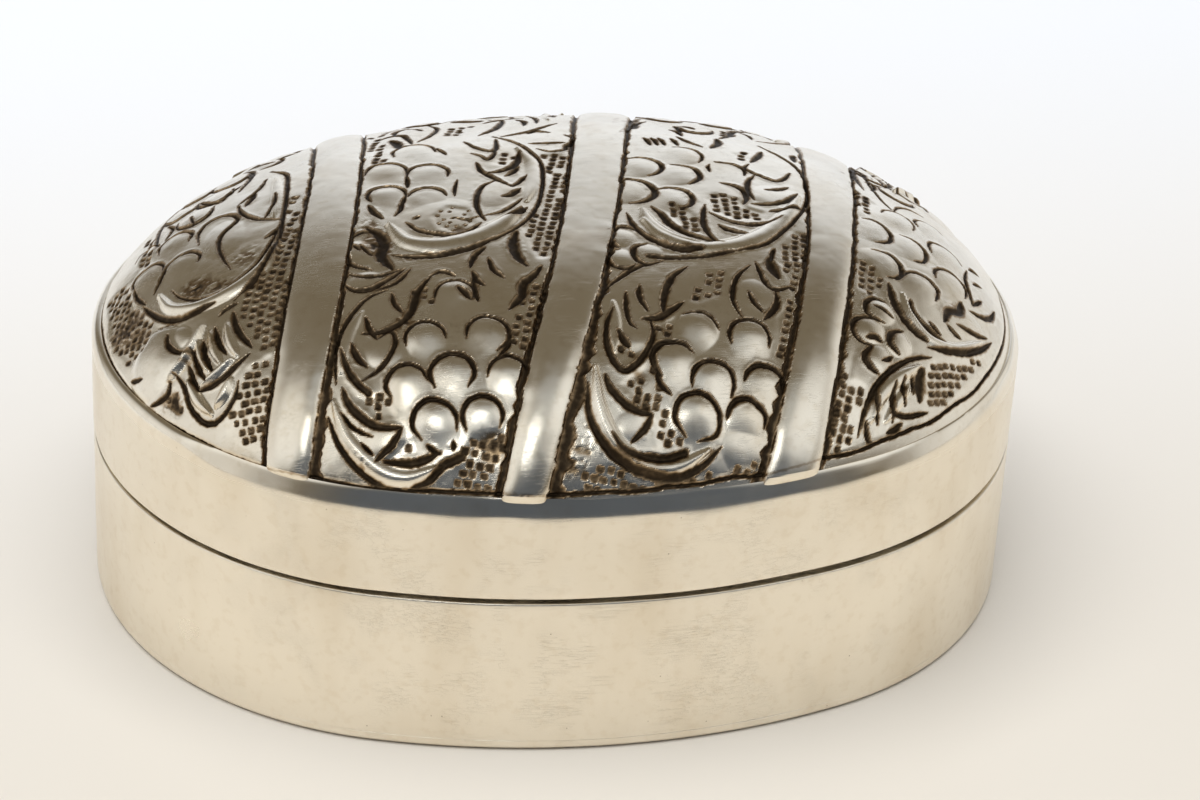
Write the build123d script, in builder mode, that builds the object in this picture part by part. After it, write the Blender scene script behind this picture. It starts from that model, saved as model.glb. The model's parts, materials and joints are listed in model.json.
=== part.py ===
"""Oval silver pill box with a domed lid, hinged along its back.

Frame: +X along the length, -Y towards the front, +Z up. The origin is the middle of the
underside. All sizes are in millimetres.
"""

from build123d import *
import os
from math import atan2, degrees, pi, sin

os.makedirs("parts", exist_ok=True)

# --- Driving dimensions -----------------------------------------------------------------
LENGTH = 56.0  # outside, end to end
WIDTH = 44.0  # outside, front to back, without the hinge
END_RADIUS = 20.8  # the two end arcs of the oval
SEAM_HEIGHT = 10.1  # middle of the gap between base and lid
SEAM_GAP = 0.2
RIM_HEIGHT = 16.0  # top of the lid's upright wall
DOME_FOOT = 16.25  # where the dome starts, just above the rounded rim
DOME_RISE = 8.4  # from its foot to the crown

# --- Sheet thicknesses ------------------------------------------------------------------
FLOOR_THICK = 0.7
BASE_WALL_THICK = 0.85
LID_WALL_THICK = 0.65
COLLAR_THICK = 0.4
DOME_THICK = 0.6

# --- Collar: the thin inner strip that the lid closes over --------------------------------
COLLAR_FOOT = 5.5
COLLAR_TOP = 11.5

# --- Rounded edges ----------------------------------------------------------------------
FOOT_ROUND = 0.45
RIM_ROUND = 0.5

# --- Dome section -----------------------------------------------------------------------
DOME_SHRINK = 0.982  # dome's foot as a share of the outer oval
DOME_FLATNESS = 3.0  # higher is flatter on top
DOME_SHOULDER = 0.74  # lower is steeper at the foot
DOME_BANDS = 12  # steps from the foot to the small flat at the crown

# --- Hinge ------------------------------------------------------------------------------
KNUCKLE_COUNT = 5  # odd ones on the base, even ones on the lid
KNUCKLE_LENGTH = 2.6
KNUCKLE_GAP = 0.12
KNUCKLE_RADIUS = 1.2
PIN_RADIUS = 0.45
RUNNING_CLEARANCE = 0.05  # radial, pin in the lid's knuckles
SWING_CLEARANCE = 0.22  # radial, between a knuckle and the other half's wall
HINGE_SET_IN = 0.1  # the axis lies this far inside the outer face at the back

# --- Worked out from the above -------------------------------------------------------------
HALF_LENGTH = LENGTH / 2
HALF_WIDTH = WIDTH / 2
END_CENTRE = HALF_LENGTH - END_RADIUS
SIDE_RADIUS = (
    HALF_LENGTH**2 + HALF_WIDTH**2 - 2 * HALF_LENGTH * END_RADIUS
) / (2 * (HALF_WIDTH - END_RADIUS))
SIDE_CENTRE = SIDE_RADIUS - HALF_WIDTH
JOIN_ANGLE = degrees(atan2(SIDE_CENTRE, END_CENTRE))
BASE_TOP = SEAM_HEIGHT - SEAM_GAP / 2
LID_FOOT = SEAM_HEIGHT + SEAM_GAP / 2
HINGE_Y = HALF_WIDTH - HINGE_SET_IN
KNUCKLE_PITCH = KNUCKLE_LENGTH + KNUCKLE_GAP
HINGE_LENGTH = KNUCKLE_COUNT * KNUCKLE_PITCH - KNUCKLE_GAP
BASE_KNUCKLES = range(0, KNUCKLE_COUNT, 2)
LID_KNUCKLES = range(1, KNUCKLE_COUNT, 2)
DOME_STATIONS = [sin(pi / 2 * (1 - band / DOME_BANDS)) for band in range(DOME_BANDS)]


def draw_oval(inset=0.0, shrink=1.0):
    """Fills the open sketch with the oval: four tangent arcs, set in by inset or scaled."""
    end_radius = (END_RADIUS - inset) * shrink
    side_radius = (SIDE_RADIUS - inset) * shrink
    end_centre = END_CENTRE * shrink
    side_centre = SIDE_CENTRE * shrink
    end_sweep = 2 * JOIN_ANGLE
    side_sweep = 180 - 2 * JOIN_ANGLE
    with BuildLine() as outline:
        CenterArc((end_centre, 0), end_radius, -JOIN_ANGLE, end_sweep)
        CenterArc((0, -side_centre), side_radius, JOIN_ANGLE, side_sweep)
        CenterArc((-end_centre, 0), end_radius, 180 - JOIN_ANGLE, end_sweep)
        CenterArc((0, side_centre), side_radius, 180 + JOIN_ANGLE, side_sweep)
    make_face(outline.edges())


def wall_ring(foot, top, outer_inset, thickness):
    """Raises, in the open part, an upright strip bent round the oval."""
    with BuildSketch(Plane.XY.offset(foot)) as outside:
        draw_oval(outer_inset)
    extrude(outside.sketch, amount=top - foot)
    with BuildSketch(Plane.XY.offset(foot)) as inside:
        draw_oval(outer_inset + thickness)
    extrude(inside.sketch, amount=top - foot, mode=Mode.SUBTRACT)


def knuckle_start(index):
    """X of the left end of a knuckle, counted from the left."""
    return -HINGE_LENGTH / 2 + index * KNUCKLE_PITCH


def cut_hinge_seat(knuckles, radius, beyond):
    """Cuts round seats along the hinge axis for the given knuckles, a little longer than them."""
    for index in knuckles:
        start = knuckle_start(index) - beyond
        with BuildSketch(Plane.YZ.offset(start)) as seat:
            with Locations((HINGE_Y, SEAM_HEIGHT)):
                Circle(radius)
        extrude(seat.sketch, amount=KNUCKLE_LENGTH + 2 * beyond, mode=Mode.SUBTRACT)


def dome_height(station):
    """Height of the dome above its foot at a share of the way out from the crown."""
    return DOME_RISE * (1 - station**DOME_FLATNESS) ** DOME_SHOULDER


# --- Base ---------------------------------------------------------------------------------
with BuildPart() as base_plate:
    with BuildSketch(Plane.XY):
        draw_oval()
    extrude(amount=FLOOR_THICK)
    fillet(base_plate.faces().sort_by(Axis.Z)[0].edges(), FOOT_ROUND)
base_plate.part.label = "base_plate"
export_step(base_plate.part, "parts/base_plate.step")

with BuildPart() as base_wall:
    wall_ring(FLOOR_THICK, BASE_TOP, 0.0, BASE_WALL_THICK)
    cut_hinge_seat(BASE_KNUCKLES, KNUCKLE_RADIUS, 0.0)
    cut_hinge_seat(LID_KNUCKLES, KNUCKLE_RADIUS + SWING_CLEARANCE, KNUCKLE_GAP)
base_wall.part.label = "base_wall"
export_step(base_wall.part, "parts/base_wall.step")

with BuildPart() as base_collar:
    wall_ring(COLLAR_FOOT, COLLAR_TOP, BASE_WALL_THICK, COLLAR_THICK)
    with BuildSketch(Plane.YZ.offset(-HINGE_LENGTH / 2 - KNUCKLE_GAP)):
        with Locations((HINGE_Y, SEAM_HEIGHT)):
            Circle(KNUCKLE_RADIUS + SWING_CLEARANCE)
        with Locations((HINGE_Y, SEAM_HEIGHT + KNUCKLE_RADIUS)):
            Rectangle(4 * KNUCKLE_RADIUS, 2 * KNUCKLE_RADIUS)
    extrude(amount=HINGE_LENGTH + 2 * KNUCKLE_GAP, mode=Mode.SUBTRACT)
base_collar.part.label = "base_collar"
export_step(base_collar.part, "parts/base_collar.step")

# --- Lid ----------------------------------------------------------------------------------
with BuildPart() as lid_wall:
    wall_ring(LID_FOOT, RIM_HEIGHT, 0.0, LID_WALL_THICK)
    cut_hinge_seat(LID_KNUCKLES, KNUCKLE_RADIUS, 0.0)
    cut_hinge_seat(BASE_KNUCKLES, KNUCKLE_RADIUS + SWING_CLEARANCE, KNUCKLE_GAP)
lid_wall.part.label = "lid_wall"
export_step(lid_wall.part, "parts/lid_wall.step")

with BuildPart() as lid_dome:
    with BuildSketch(Plane.XY.offset(RIM_HEIGHT)):
        draw_oval()
    extrude(amount=RIM_ROUND + 0.1)
    fillet(lid_dome.faces().sort_by(Axis.Z)[-1].edges(), RIM_ROUND)
    for station in DOME_STATIONS:
        with BuildSketch(Plane.XY.offset(DOME_FOOT + dome_height(station))):
            draw_oval(shrink=DOME_SHRINK * station)
    loft(ruled=True)
    with BuildSketch(Plane.XY.offset(RIM_HEIGHT)):
        draw_oval(LID_WALL_THICK)
    extrude(amount=DOME_FOOT - RIM_HEIGHT, mode=Mode.SUBTRACT)
    hollow = (HALF_WIDTH - LID_WALL_THICK) / HALF_WIDTH
    for station in DOME_STATIONS:
        with BuildSketch(Plane.XY.offset(DOME_FOOT + dome_height(station) - DOME_THICK)):
            draw_oval(shrink=hollow * DOME_SHRINK * station)
    loft(ruled=True, mode=Mode.SUBTRACT)
lid_dome.part.label = "lid_dome"
export_step(lid_dome.part, "parts/lid_dome.step")

# --- Hinge --------------------------------------------------------------------------------
for index in range(KNUCKLE_COUNT):
    on_base = index in BASE_KNUCKLES
    side = "base" if on_base else "lid"
    bore = PIN_RADIUS if on_base else PIN_RADIUS + RUNNING_CLEARANCE
    name = f"{side}_knuckle_{index // 2 + 1}"
    with BuildPart() as knuckle:
        with BuildSketch(Plane.YZ.offset(knuckle_start(index))):
            with Locations((HINGE_Y, SEAM_HEIGHT)):
                Circle(KNUCKLE_RADIUS)
                Circle(bore, mode=Mode.SUBTRACT)
        extrude(amount=KNUCKLE_LENGTH)
    knuckle.part.label = name
    export_step(knuckle.part, f"parts/{name}.step")

with BuildPart() as hinge_pin:
    with BuildSketch(Plane.YZ.offset(-HINGE_LENGTH / 2)):
        with Locations((HINGE_Y, SEAM_HEIGHT)):
            Circle(PIN_RADIUS)
    extrude(amount=HINGE_LENGTH)
hinge_pin.part.label = "hinge_pin"
export_step(hinge_pin.part, "parts/hinge_pin.step")
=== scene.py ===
# %% [markdown]
# # An oval silver pill box
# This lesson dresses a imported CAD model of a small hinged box. The walls are plain strip,
# bent round an oval. The lid is a dome with scrolls, leaves and a punched ground chased
# into it between three plain bands. The CAD gives every size and the hinge, and Blender
# gives the hand-made surface. Start by loading the frame and keeping its box.

import json
import math

import bpy
import numpy as np
from mathutils import Matrix, Vector, noise

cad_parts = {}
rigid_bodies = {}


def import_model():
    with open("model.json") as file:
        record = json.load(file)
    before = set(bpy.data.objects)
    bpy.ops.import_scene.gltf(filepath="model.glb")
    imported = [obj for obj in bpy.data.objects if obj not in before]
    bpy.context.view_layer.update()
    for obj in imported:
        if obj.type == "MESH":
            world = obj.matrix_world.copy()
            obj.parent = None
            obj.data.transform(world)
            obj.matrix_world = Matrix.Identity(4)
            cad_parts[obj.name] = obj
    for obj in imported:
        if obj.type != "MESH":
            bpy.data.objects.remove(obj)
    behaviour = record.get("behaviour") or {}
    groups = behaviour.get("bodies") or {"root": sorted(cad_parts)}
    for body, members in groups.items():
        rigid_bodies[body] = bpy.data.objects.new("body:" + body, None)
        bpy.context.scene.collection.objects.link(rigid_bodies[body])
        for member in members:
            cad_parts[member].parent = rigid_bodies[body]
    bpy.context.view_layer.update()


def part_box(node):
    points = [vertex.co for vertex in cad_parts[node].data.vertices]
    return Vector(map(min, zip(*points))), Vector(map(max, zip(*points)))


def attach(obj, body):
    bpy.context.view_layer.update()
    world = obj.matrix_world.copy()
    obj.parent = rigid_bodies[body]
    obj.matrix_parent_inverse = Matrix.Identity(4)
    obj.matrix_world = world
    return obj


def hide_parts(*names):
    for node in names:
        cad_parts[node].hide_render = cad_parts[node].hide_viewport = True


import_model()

# %% [markdown]
# Blender works in metres and a silversmith in millimetres, so the lesson keeps its sizes in
# millimetres and multiplies by MM when a mesh is made. The main sizes are read from the
# CAD nodes. The end arc's radius can't be read from a box, so it is written here.

# %% Sizes in millimetres
MM = 0.001


def node_box(node):
    """Lowest and highest corner of a CAD node, in rounded millimetres."""
    low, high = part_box(node)
    return [round(v / MM, 2) for v in low], [round(v / MM, 2) for v in high]


plate_high = node_box("base_plate")[1]
wall_high = node_box("base_wall")[1]
dome_high = node_box("lid_dome")[1]
lid_low, lid_high = node_box("lid_wall")
collar_low, collar_high = node_box("base_collar")
pin_low, pin_high = node_box("hinge_pin")
knuckle_low, knuckle_high = node_box("base_knuckle_1")

HALF_LENGTH = round(plate_high[0], 1)
HALF_WIDTH = round(plate_high[1], 1)
END_RADIUS = 20.8
END_CENTRE = HALF_LENGTH - END_RADIUS
SIDE_RADIUS = (HALF_LENGTH**2 + HALF_WIDTH**2 - 2 * HALF_LENGTH * END_RADIUS) / (
    2 * (HALF_WIDTH - END_RADIUS)
)
SIDE_CENTRE = SIDE_RADIUS - HALF_WIDTH
FLOOR_TOP = plate_high[2]
BASE_TOP = wall_high[2]
LID_FOOT = lid_low[2]
RIM_HEIGHT = lid_high[2]
CROWN = dome_high[2]
HINGE_Y = round((pin_low[1] + pin_high[1]) / 2, 2)
HINGE_Z = round((pin_low[2] + pin_high[2]) / 2, 2)
KNUCKLE_RADIUS = round((knuckle_high[2] - knuckle_low[2]) / 2, 2)
print("oval", HALF_LENGTH, HALF_WIDTH, "seam", BASE_TOP, LID_FOOT, "crown", CROWN)

# %% [markdown]
# The camera looks down at the front of the box from a little to the left of the middle,
# through a long lens, and the horizon leans by three degrees. The camera is built from its
# three directions, because that is how a lean is easiest to say.

# %% Camera
CAMERA_AZIMUTH = math.radians(-12.4)
CAMERA_ELEVATION = math.radians(29.7)
CAMERA_LEAN = math.radians(3.04)
CAMERA_DISTANCE = 223.1
CAMERA_LENS = 109.2
SENSOR_WIDTH = 36.0
CAMERA_TARGET = Vector((2.77, 0.0, 10.3))


def add_camera():
    """Adds the camera and makes it the scene's own."""
    back = Vector(
        (
            math.sin(CAMERA_AZIMUTH) * math.cos(CAMERA_ELEVATION),
            -math.cos(CAMERA_AZIMUTH) * math.cos(CAMERA_ELEVATION),
            math.sin(CAMERA_ELEVATION),
        )
    )
    level = (-back).cross(Vector((0, 0, 1))).normalized()
    above = level.cross(-back)
    right = math.cos(CAMERA_LEAN) * level + math.sin(CAMERA_LEAN) * above
    up = math.cos(CAMERA_LEAN) * above - math.sin(CAMERA_LEAN) * level
    data = bpy.data.cameras.new("camera")
    data.lens = CAMERA_LENS
    data.sensor_width = SENSOR_WIDTH
    data.clip_start, data.clip_end = 0.01, 20.0
    camera = bpy.data.objects.new("camera", data)
    bpy.context.scene.collection.objects.link(camera)
    turn = Matrix((right, up, back)).transposed().to_4x4()
    place = (CAMERA_TARGET + CAMERA_DISTANCE * back) * MM
    camera.matrix_world = Matrix.Translation(place) @ turn
    bpy.context.scene.camera = camera


add_camera()
print("camera", CAMERA_DISTANCE, "mm away, lens", CAMERA_LENS, "mm")

# %% [markdown]
# Polished silver shows the room more than itself, so the room comes first. It is a light
# tent: white behind and at both sides, two bright patches high on the left and the right, dim
# overhead and dark in front where the camera stands. Each of these is a soft round patch of
# the world, and a ray that comes straight from the camera sees plain white instead.

# %% Room
def world_patch(tree, direction, colour_in, towards, near, far, colour):
    """Paints a soft round patch round one direction over the colour so far."""
    dot = tree.nodes.new("ShaderNodeVectorMath")
    dot.operation = "DOT_PRODUCT"
    tree.links.new(direction, dot.inputs[0])
    dot.inputs[1].default_value = Vector(towards).normalized()
    soft = tree.nodes.new("ShaderNodeMapRange")
    soft.interpolation_type = "SMOOTHSTEP"
    soft.inputs["From Min"].default_value = math.cos(math.radians(far))
    soft.inputs["From Max"].default_value = math.cos(math.radians(near))
    tree.links.new(dot.outputs["Value"], soft.inputs["Value"])
    mix = tree.nodes.new("ShaderNodeMix")
    mix.data_type = "RGBA"
    tree.links.new(soft.outputs["Result"], mix.inputs["Factor"])
    tree.links.new(colour_in, mix.inputs[6])
    mix.inputs[7].default_value = (*colour, 1.0)
    return mix.outputs[2]


# direction, full inside this angle, gone outside this one, colour
ROOM_PATCHES = (
    ((0.28, 0.96, -0.02), 4, 45, (1.0, 1.06, 1.17)),
    ((-1.0, 0.2, 0.0), 10, 52, (0.84, 0.84, 0.84)),
    ((1.0, 0.2, 0.0), 10, 48, (0.80, 0.80, 0.80)),
    ((0.0, -0.45, 0.9), 12, 32, (0.44, 0.46, 0.48)),
    ((-0.8, -0.25, 0.8), 12, 33, (0.96, 0.98, 1.0)),
    ((0.62, -0.45, 0.72), 12, 34, (0.92, 0.94, 0.96)),
    ((0.0, -1.0, 0.12), 34, 54, (0.09, 0.105, 0.13)),
)
ROOM_SHADE = (0.165, 0.140, 0.100, 1.0)  # the dim room between the patches
SEEN_WHITE = (0.93, 0.94, 0.98, 1.0)  # what the camera sees behind the box


def add_room():
    """Builds the world: the tent's patches for the silver, plain white for the camera."""
    world = bpy.data.worlds.new("room")
    bpy.context.scene.world = world
    world.use_nodes = True
    tree = world.node_tree
    tree.nodes.clear()
    where = tree.nodes.new("ShaderNodeTexCoord")
    base = tree.nodes.new("ShaderNodeRGB")
    base.outputs[0].default_value = ROOM_SHADE
    colour = base.outputs[0]
    for towards, near, far, patch in ROOM_PATCHES:
        colour = world_patch(tree, where.outputs["Generated"], colour, towards, near, far, patch)
    tent = tree.nodes.new("ShaderNodeBackground")
    tree.links.new(colour, tent.inputs["Color"])
    plain = tree.nodes.new("ShaderNodeBackground")
    plain.inputs["Color"].default_value = SEEN_WHITE
    path = tree.nodes.new("ShaderNodeLightPath")
    choose = tree.nodes.new("ShaderNodeMixShader")
    out = tree.nodes.new("ShaderNodeOutputWorld")
    tree.links.new(path.outputs["Is Camera Ray"], choose.inputs["Fac"])
    tree.links.new(tent.outputs[0], choose.inputs[1])
    tree.links.new(plain.outputs[0], choose.inputs[2])
    tree.links.new(choose.outputs[0], out.inputs["Surface"])


bpy.context.scene.view_settings.view_transform = "Standard"
add_room()
print("room patches", len(ROOM_PATCHES))

# %% [markdown]
# Two lamps light the scene. The window is the smaller one and is mirrored in the silver.
# The fill is wide and kept out of reflections. Silver shows only what it mirrors, so the
# fill brightens the floor and leaves the box as it is.

# %% Lamps
def add_softbox(name, place, target, size, watts, colour, mirrored=True):
    """Adds one soft area light that points at the box. Sizes and places are in millimetres."""
    data = bpy.data.lights.new(name, "AREA")
    data.size = size * MM
    data.energy = watts
    data.color = colour
    light = bpy.data.objects.new(name, data)
    bpy.context.scene.collection.objects.link(light)
    light.location = Vector(place) * MM
    light.visible_glossy = mirrored
    aim = (Vector(target) - Vector(place)).normalized()
    light.rotation_mode = "QUATERNION"
    light.rotation_quaternion = aim.to_track_quat("-Z", "Y")


add_softbox("front_window", (-90, -250, 400), (0, 0, 12), 150, 0.17, (0.95, 0.98, 1.0))
add_softbox("overhead_fill", (-90, -60, 700), (0, 0, 0), 700, 4.6, (1.0, 0.995, 0.985), mirrored=False)
print("lamps", [lamp.name for lamp in bpy.data.lights])

# %% [markdown]
# The box stands on a smooth pale sheet, a little glossy near the box. Its colour holds painted
# shade, warm and darker near the box, and painted light, a brighter, cooler white behind it.
# A faint dark ring of contact comes from the light alone.

# %% Floor
# painted shade: the sheet's darker, warmer colour near the box; painted light: its brighter, cooler colour
# behind
FLOOR_SHADED_WARM = (0.735, 0.69, 0.62, 1.0)
FLOOR_LIT_COOL = (0.88, 0.91, 0.965, 1.0)
FLOOR_LIGHT_FADE = (-0.03, 0.11)  # metres along Y over which the sheet turns cool
FLOOR_SIZE = 3.0


def add_floor():
    """A large plane with a slow painted change of light, from shaded beige in front to lit white behind."""
    bpy.ops.mesh.primitive_plane_add(size=FLOOR_SIZE, location=(0, 0, 0))
    floor = bpy.context.object
    floor.name = "floor"
    material = bpy.data.materials.new("pale_sheet_painted_light")
    material.use_nodes = True
    tree = material.node_tree
    shader = tree.nodes["Principled BSDF"]
    where = tree.nodes.new("ShaderNodeTexCoord")
    split = tree.nodes.new("ShaderNodeSeparateXYZ")
    fade = tree.nodes.new("ShaderNodeMapRange")
    fade.interpolation_type = "SMOOTHSTEP"
    fade.inputs["From Min"].default_value = FLOOR_LIGHT_FADE[0]
    fade.inputs["From Max"].default_value = FLOOR_LIGHT_FADE[1]
    mix = tree.nodes.new("ShaderNodeMix")
    mix.data_type = "RGBA"
    mix.inputs[6].default_value = FLOOR_SHADED_WARM
    mix.inputs[7].default_value = FLOOR_LIT_COOL
    tree.links.new(where.outputs["Object"], split.inputs[0])
    tree.links.new(split.outputs["Y"], fade.inputs["Value"])
    tree.links.new(fade.outputs["Result"], mix.inputs["Factor"])
    tree.links.new(mix.outputs[2], shader.inputs["Base Color"])
    shader.inputs["Roughness"].default_value = 0.35
    shader.inputs["IOR"].default_value = 1.3
    floor.data.materials.append(material)


add_floor()
print("floor", FLOOR_SIZE, "m wide")

# %% [markdown]
# ## The oval and the dome
# Four arcs that meet without a corner make the oval. `oval_share` turns this round: it says
# how far out a point lies, as a share of the outer oval, by solving each arc's circle.
# The dome's height depends on that share alone, so every level line is the same oval.

# %% Oval and dome
DOME_SHRINK = 0.982
DOME_FOOT = 16.25
DOME_RISE = CROWN - DOME_FOOT
DOME_FLATNESS = 3.0
DOME_SHOULDER = 0.74
JOIN = math.atan2(SIDE_CENTRE, END_CENTRE)
JOIN_X = END_CENTRE + END_RADIUS * math.cos(JOIN)
JOIN_Y = END_RADIUS * math.sin(JOIN)


def oval_share(x, y):
    """Share of the outer oval on which a plan point lies: 1 is on it, 0 is the centre."""
    x, y = np.abs(x), np.abs(y)
    square = x * x + y * y
    at_end = y * JOIN_X < x * JOIN_Y
    power = np.where(at_end, END_RADIUS**2 - END_CENTRE**2, SIDE_RADIUS**2 - SIDE_CENTRE**2)
    lean = np.where(at_end, -END_CENTRE * x, SIDE_CENTRE * y)
    return (lean + np.sqrt(lean * lean + power * square)) / power


def dome_height(share):
    """Height of the smooth dome in millimetres at a share of its own foot oval."""
    share = np.clip(share, 0.0, 1.0)
    return DOME_FOOT + DOME_RISE * (1 - share**DOME_FLATNESS) ** DOME_SHOULDER


# %% [markdown]
# The ornament is drawn on a flat chart, as if the dome were pressed flat: distance from the
# crown on the chart is distance along the metal. That keeps a round scale round, even on
# the steep shoulder. These two functions go between the plan and the chart.

# %% Chart
MEAN_RADIUS = 24.0
_station = np.sin(np.linspace(0, math.pi / 2, 4001))
_rise = dome_height(_station)
_along = np.hypot(np.diff(_station) * MEAN_RADIUS, np.diff(_rise))
_walked = np.concatenate([[0.0], np.cumsum(_along)]) / MEAN_RADIUS


def plan_to_chart(x, y):
    """Plan millimetres to chart millimetres."""
    share = oval_share(x, y) / DOME_SHRINK
    grow = np.interp(share, _station, _walked) / np.maximum(share, 1e-9)
    grow = np.where(share < 1e-6, 1.0, grow)
    return x * grow, y * grow


def chart_to_plan(x, y):
    """Chart millimetres to plan millimetres, and the share of the dome's foot oval."""
    walked = oval_share(x, y) / DOME_SHRINK
    share = np.interp(walked, _walked, _station)
    shrink = np.where(walked < 1e-6, 1.0, share / np.maximum(walked, 1e-9))
    return x * shrink, y * shrink, share


print("chart grows the rim by", round(float(_walked[-1]), 3))

# %% [markdown]
# ## The relief map
# A silversmith chases the lid from the front: a line tracer cuts the grooves, a curved tool
# leaves each scale's crescent, and a small square punch mats the ground. The map keeps one
# height for each of these, on a grid 0.05 mm apart, and one value of blackening, because
# the recesses were darkened and the high places polished again.

# %% Relief map
CELL = 0.05
CHART_X, CHART_Y = 31.5, 25.5
grid_x = np.arange(-CHART_X, CHART_X + CELL, CELL)
grid_y = np.arange(-CHART_Y, CHART_Y + CELL, CELL)
swell = np.zeros((len(grid_y), len(grid_x)))  # raised cushions, stems and leaves
cuts = np.zeros_like(swell)  # depth of traced lines
pits = np.zeros_like(swell)  # depth of punch marks
sunk = np.zeros_like(swell)  # ground beaten down round a motif
black = np.zeros_like(swell)  # blackening, from 0 to 1
chance = np.random.default_rng(7)
print("relief map", swell.shape)

# %% [markdown]
# Nothing made by hand is even. Soft noise on the grid will roughen the edges of the cuts,
# blotch the stains and leave the panels gently uneven. A small grid of random numbers is
# stretched smoothly over the chart, so one helper serves every size of unevenness.

# %% Soft noise
def smooth_noise(spacing, seed):
    """Soft random hills about spacing millimetres across, from -1 to 1, on the chart grid."""
    dice = np.random.default_rng(seed)
    across = int(2 * CHART_X / spacing) + 4
    up = int(2 * CHART_Y / spacing) + 4
    knots = dice.uniform(-1, 1, (up, across))
    u = (grid_x + CHART_X) / spacing
    v = (grid_y + CHART_Y) / spacing
    left, low = u.astype(int), v.astype(int)
    fu, fv = u - left, v - low
    fu, fv = fu * fu * (3 - 2 * fu), fv * fv * (3 - 2 * fv)
    lower = knots[np.ix_(low, left)] * (1 - fu) + knots[np.ix_(low, left + 1)] * fu
    upper = knots[np.ix_(low + 1, left)] * (1 - fu) + knots[np.ix_(low + 1, left + 1)] * fu
    return lower * (1 - fv[:, None]) + upper * fv[:, None]


ragged = smooth_noise(0.22, 11)
blotchy = smooth_noise(0.7, 12)
print("noise from", round(float(ragged.min()), 2), "to", round(float(ragged.max()), 2))

# %% [markdown]
# A motif is written once and may be struck twice: as drawn, or turned by half a turn and
# shifted, to fill the far side of the lid. `strike` holds how the next marks are placed and
# how far their scales swell.

# %% Placing marks
strike = {"turn": 1.0, "shift": (0.0, 0.0), "fullness": 1.0}


def place_marks(half_turn=False, shift=(0.0, 0.0), fullness=1.0):
    """Sets where the marks that follow are struck, and how far their scales swell."""
    strike["turn"] = -1.0 if half_turn else 1.0
    strike["shift"] = shift
    strike["fullness"] = fullness


def placed(points):
    """Listed chart points, moved to where they are struck."""
    return np.array(points, float) * strike["turn"] + strike["shift"]


def window(points, margin):
    """The part of the grid round some points, as two slices and the grid's coordinates."""
    low = points.min(0) - margin
    high = points.max(0) + margin
    i = np.clip(((low[0] + CHART_X) / CELL, (high[0] + CHART_X) / CELL + 2), 0, len(grid_x))
    j = np.clip(((low[1] + CHART_Y) / CELL, (high[1] + CHART_Y) / CELL + 2), 0, len(grid_y))
    cols, rows = slice(int(i[0]), int(i[1])), slice(int(j[0]), int(j[1]))
    x, y = np.meshgrid(grid_x[cols], grid_y[rows])
    return (rows, cols), x, y


print("marks are placed", strike)

# %% [markdown]
# A stroke is a smooth curve through a few points. For every cell near it, `nearest` finds
# the distance to the curve and how far along the stroke it lies. The tapers say how the
# stroke swells from its start to its end.

# %% Curves
def curve_through(points, gap=0.12):
    """A smooth curve through a few points, as closely spaced points."""
    points = np.asarray(points, float)
    if len(points) == 2:
        count = max(2, int(np.hypot(*(points[1] - points[0])) / gap))
        return points[0] + (points[1] - points[0]) * np.linspace(0, 1, count)[:, None]
    ends = np.vstack([2 * points[0] - points[1], points, 2 * points[-1] - points[-2]])
    drawn = []
    for a, b, c, d in zip(ends, ends[1:], ends[2:], ends[3:]):
        count = max(2, int(np.hypot(*(c - b)) / gap))
        t = np.linspace(0, 1, count, endpoint=False)[:, None]
        drawn.append(
            0.5 * (2 * b + (c - a) * t + (2 * a - 5 * b + 4 * c - d) * t * t
                   + (3 * b - 3 * c + d - a) * t**3)
        )
    return np.vstack([*drawn, points[-1:]])


def nearest(curve, x, y):
    """Distance of each cell to the curve, and how far along it the nearest point lies."""
    best = np.full(x.shape, 1e9)
    share = np.zeros(x.shape)
    steps = np.linspace(0, 1, len(curve))
    for k in range(len(curve) - 1):
        a, b = curve[k], curve[k + 1]
        run = b - a
        t = np.clip(((x - a[0]) * run[0] + (y - a[1]) * run[1]) / max(run @ run, 1e-9), 0, 1)
        d = np.hypot(x - a[0] - t * run[0], y - a[1] - t * run[1])
        closer = d < best
        best = np.where(closer, d, best)
        share = np.where(closer, steps[k] + t * (steps[k + 1] - steps[k]), share)
    return best, share


TAPERS = {
    "both": lambda t: np.sqrt(np.clip(np.sin(np.pi * t), 0, 1)),
    "start": lambda t: np.sqrt(np.clip(np.sin(np.pi * np.clip(t * 0.62, 0, 1)), 0, 1)),
    "end": lambda t: np.sqrt(np.clip(np.sin(np.pi * np.clip((1 - t) * 0.62, 0, 1)), 0, 1)),
    "none": lambda t: np.clip(np.minimum(t, 1 - t) * 14, 0.35, 1),
}
print("tapers", sorted(TAPERS))

# %% [markdown]
# ### The tools
# The line tracer is a blunt chisel. It presses a groove that swells and tapers, and throws
# up a small burr at each side. The blackening stays in the groove and a little beyond it.

# %% Line tracer
BURR = 0.16  # height of the burr, as a share of the cut's depth
THINNEST = 0.045  # half the width of a stroke's thin end


def cut(points, width=0.3, depth=0.16, taper="both", dark=0.95):
    """Traces a groove through a few chart points. Width and depth are in millimetres."""
    curve = curve_through(placed(points))
    here, x, y = window(curve, width + 0.5)
    away, t = nearest(curve, x, y)
    swells = TAPERS[taper](t)
    half = np.maximum(0.5 * width * swells, THINNEST)
    s = away / (half * (1 + 0.22 * ragged[here]))
    groove = depth * (0.35 + 0.65 * swells) * np.clip(1 - s * s, 0, 1) ** 0.8
    cuts[here] = np.maximum(cuts[here], groove)
    lip = BURR * depth * swells * np.exp(-(((s - 1.5) / 0.5) ** 2))
    swell[here] += np.where(s > 0.9, lip, 0)
    black[here] = np.maximum(black[here], dark * np.clip(1.65 - s, 0, 1))


print("line tracer, burr", BURR)

# %% [markdown]
# A bump is pushed up from behind with a round punch, and a stem with a row of them. Both
# are rounded heights on the map. Where two overlap, the higher one wins.

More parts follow.
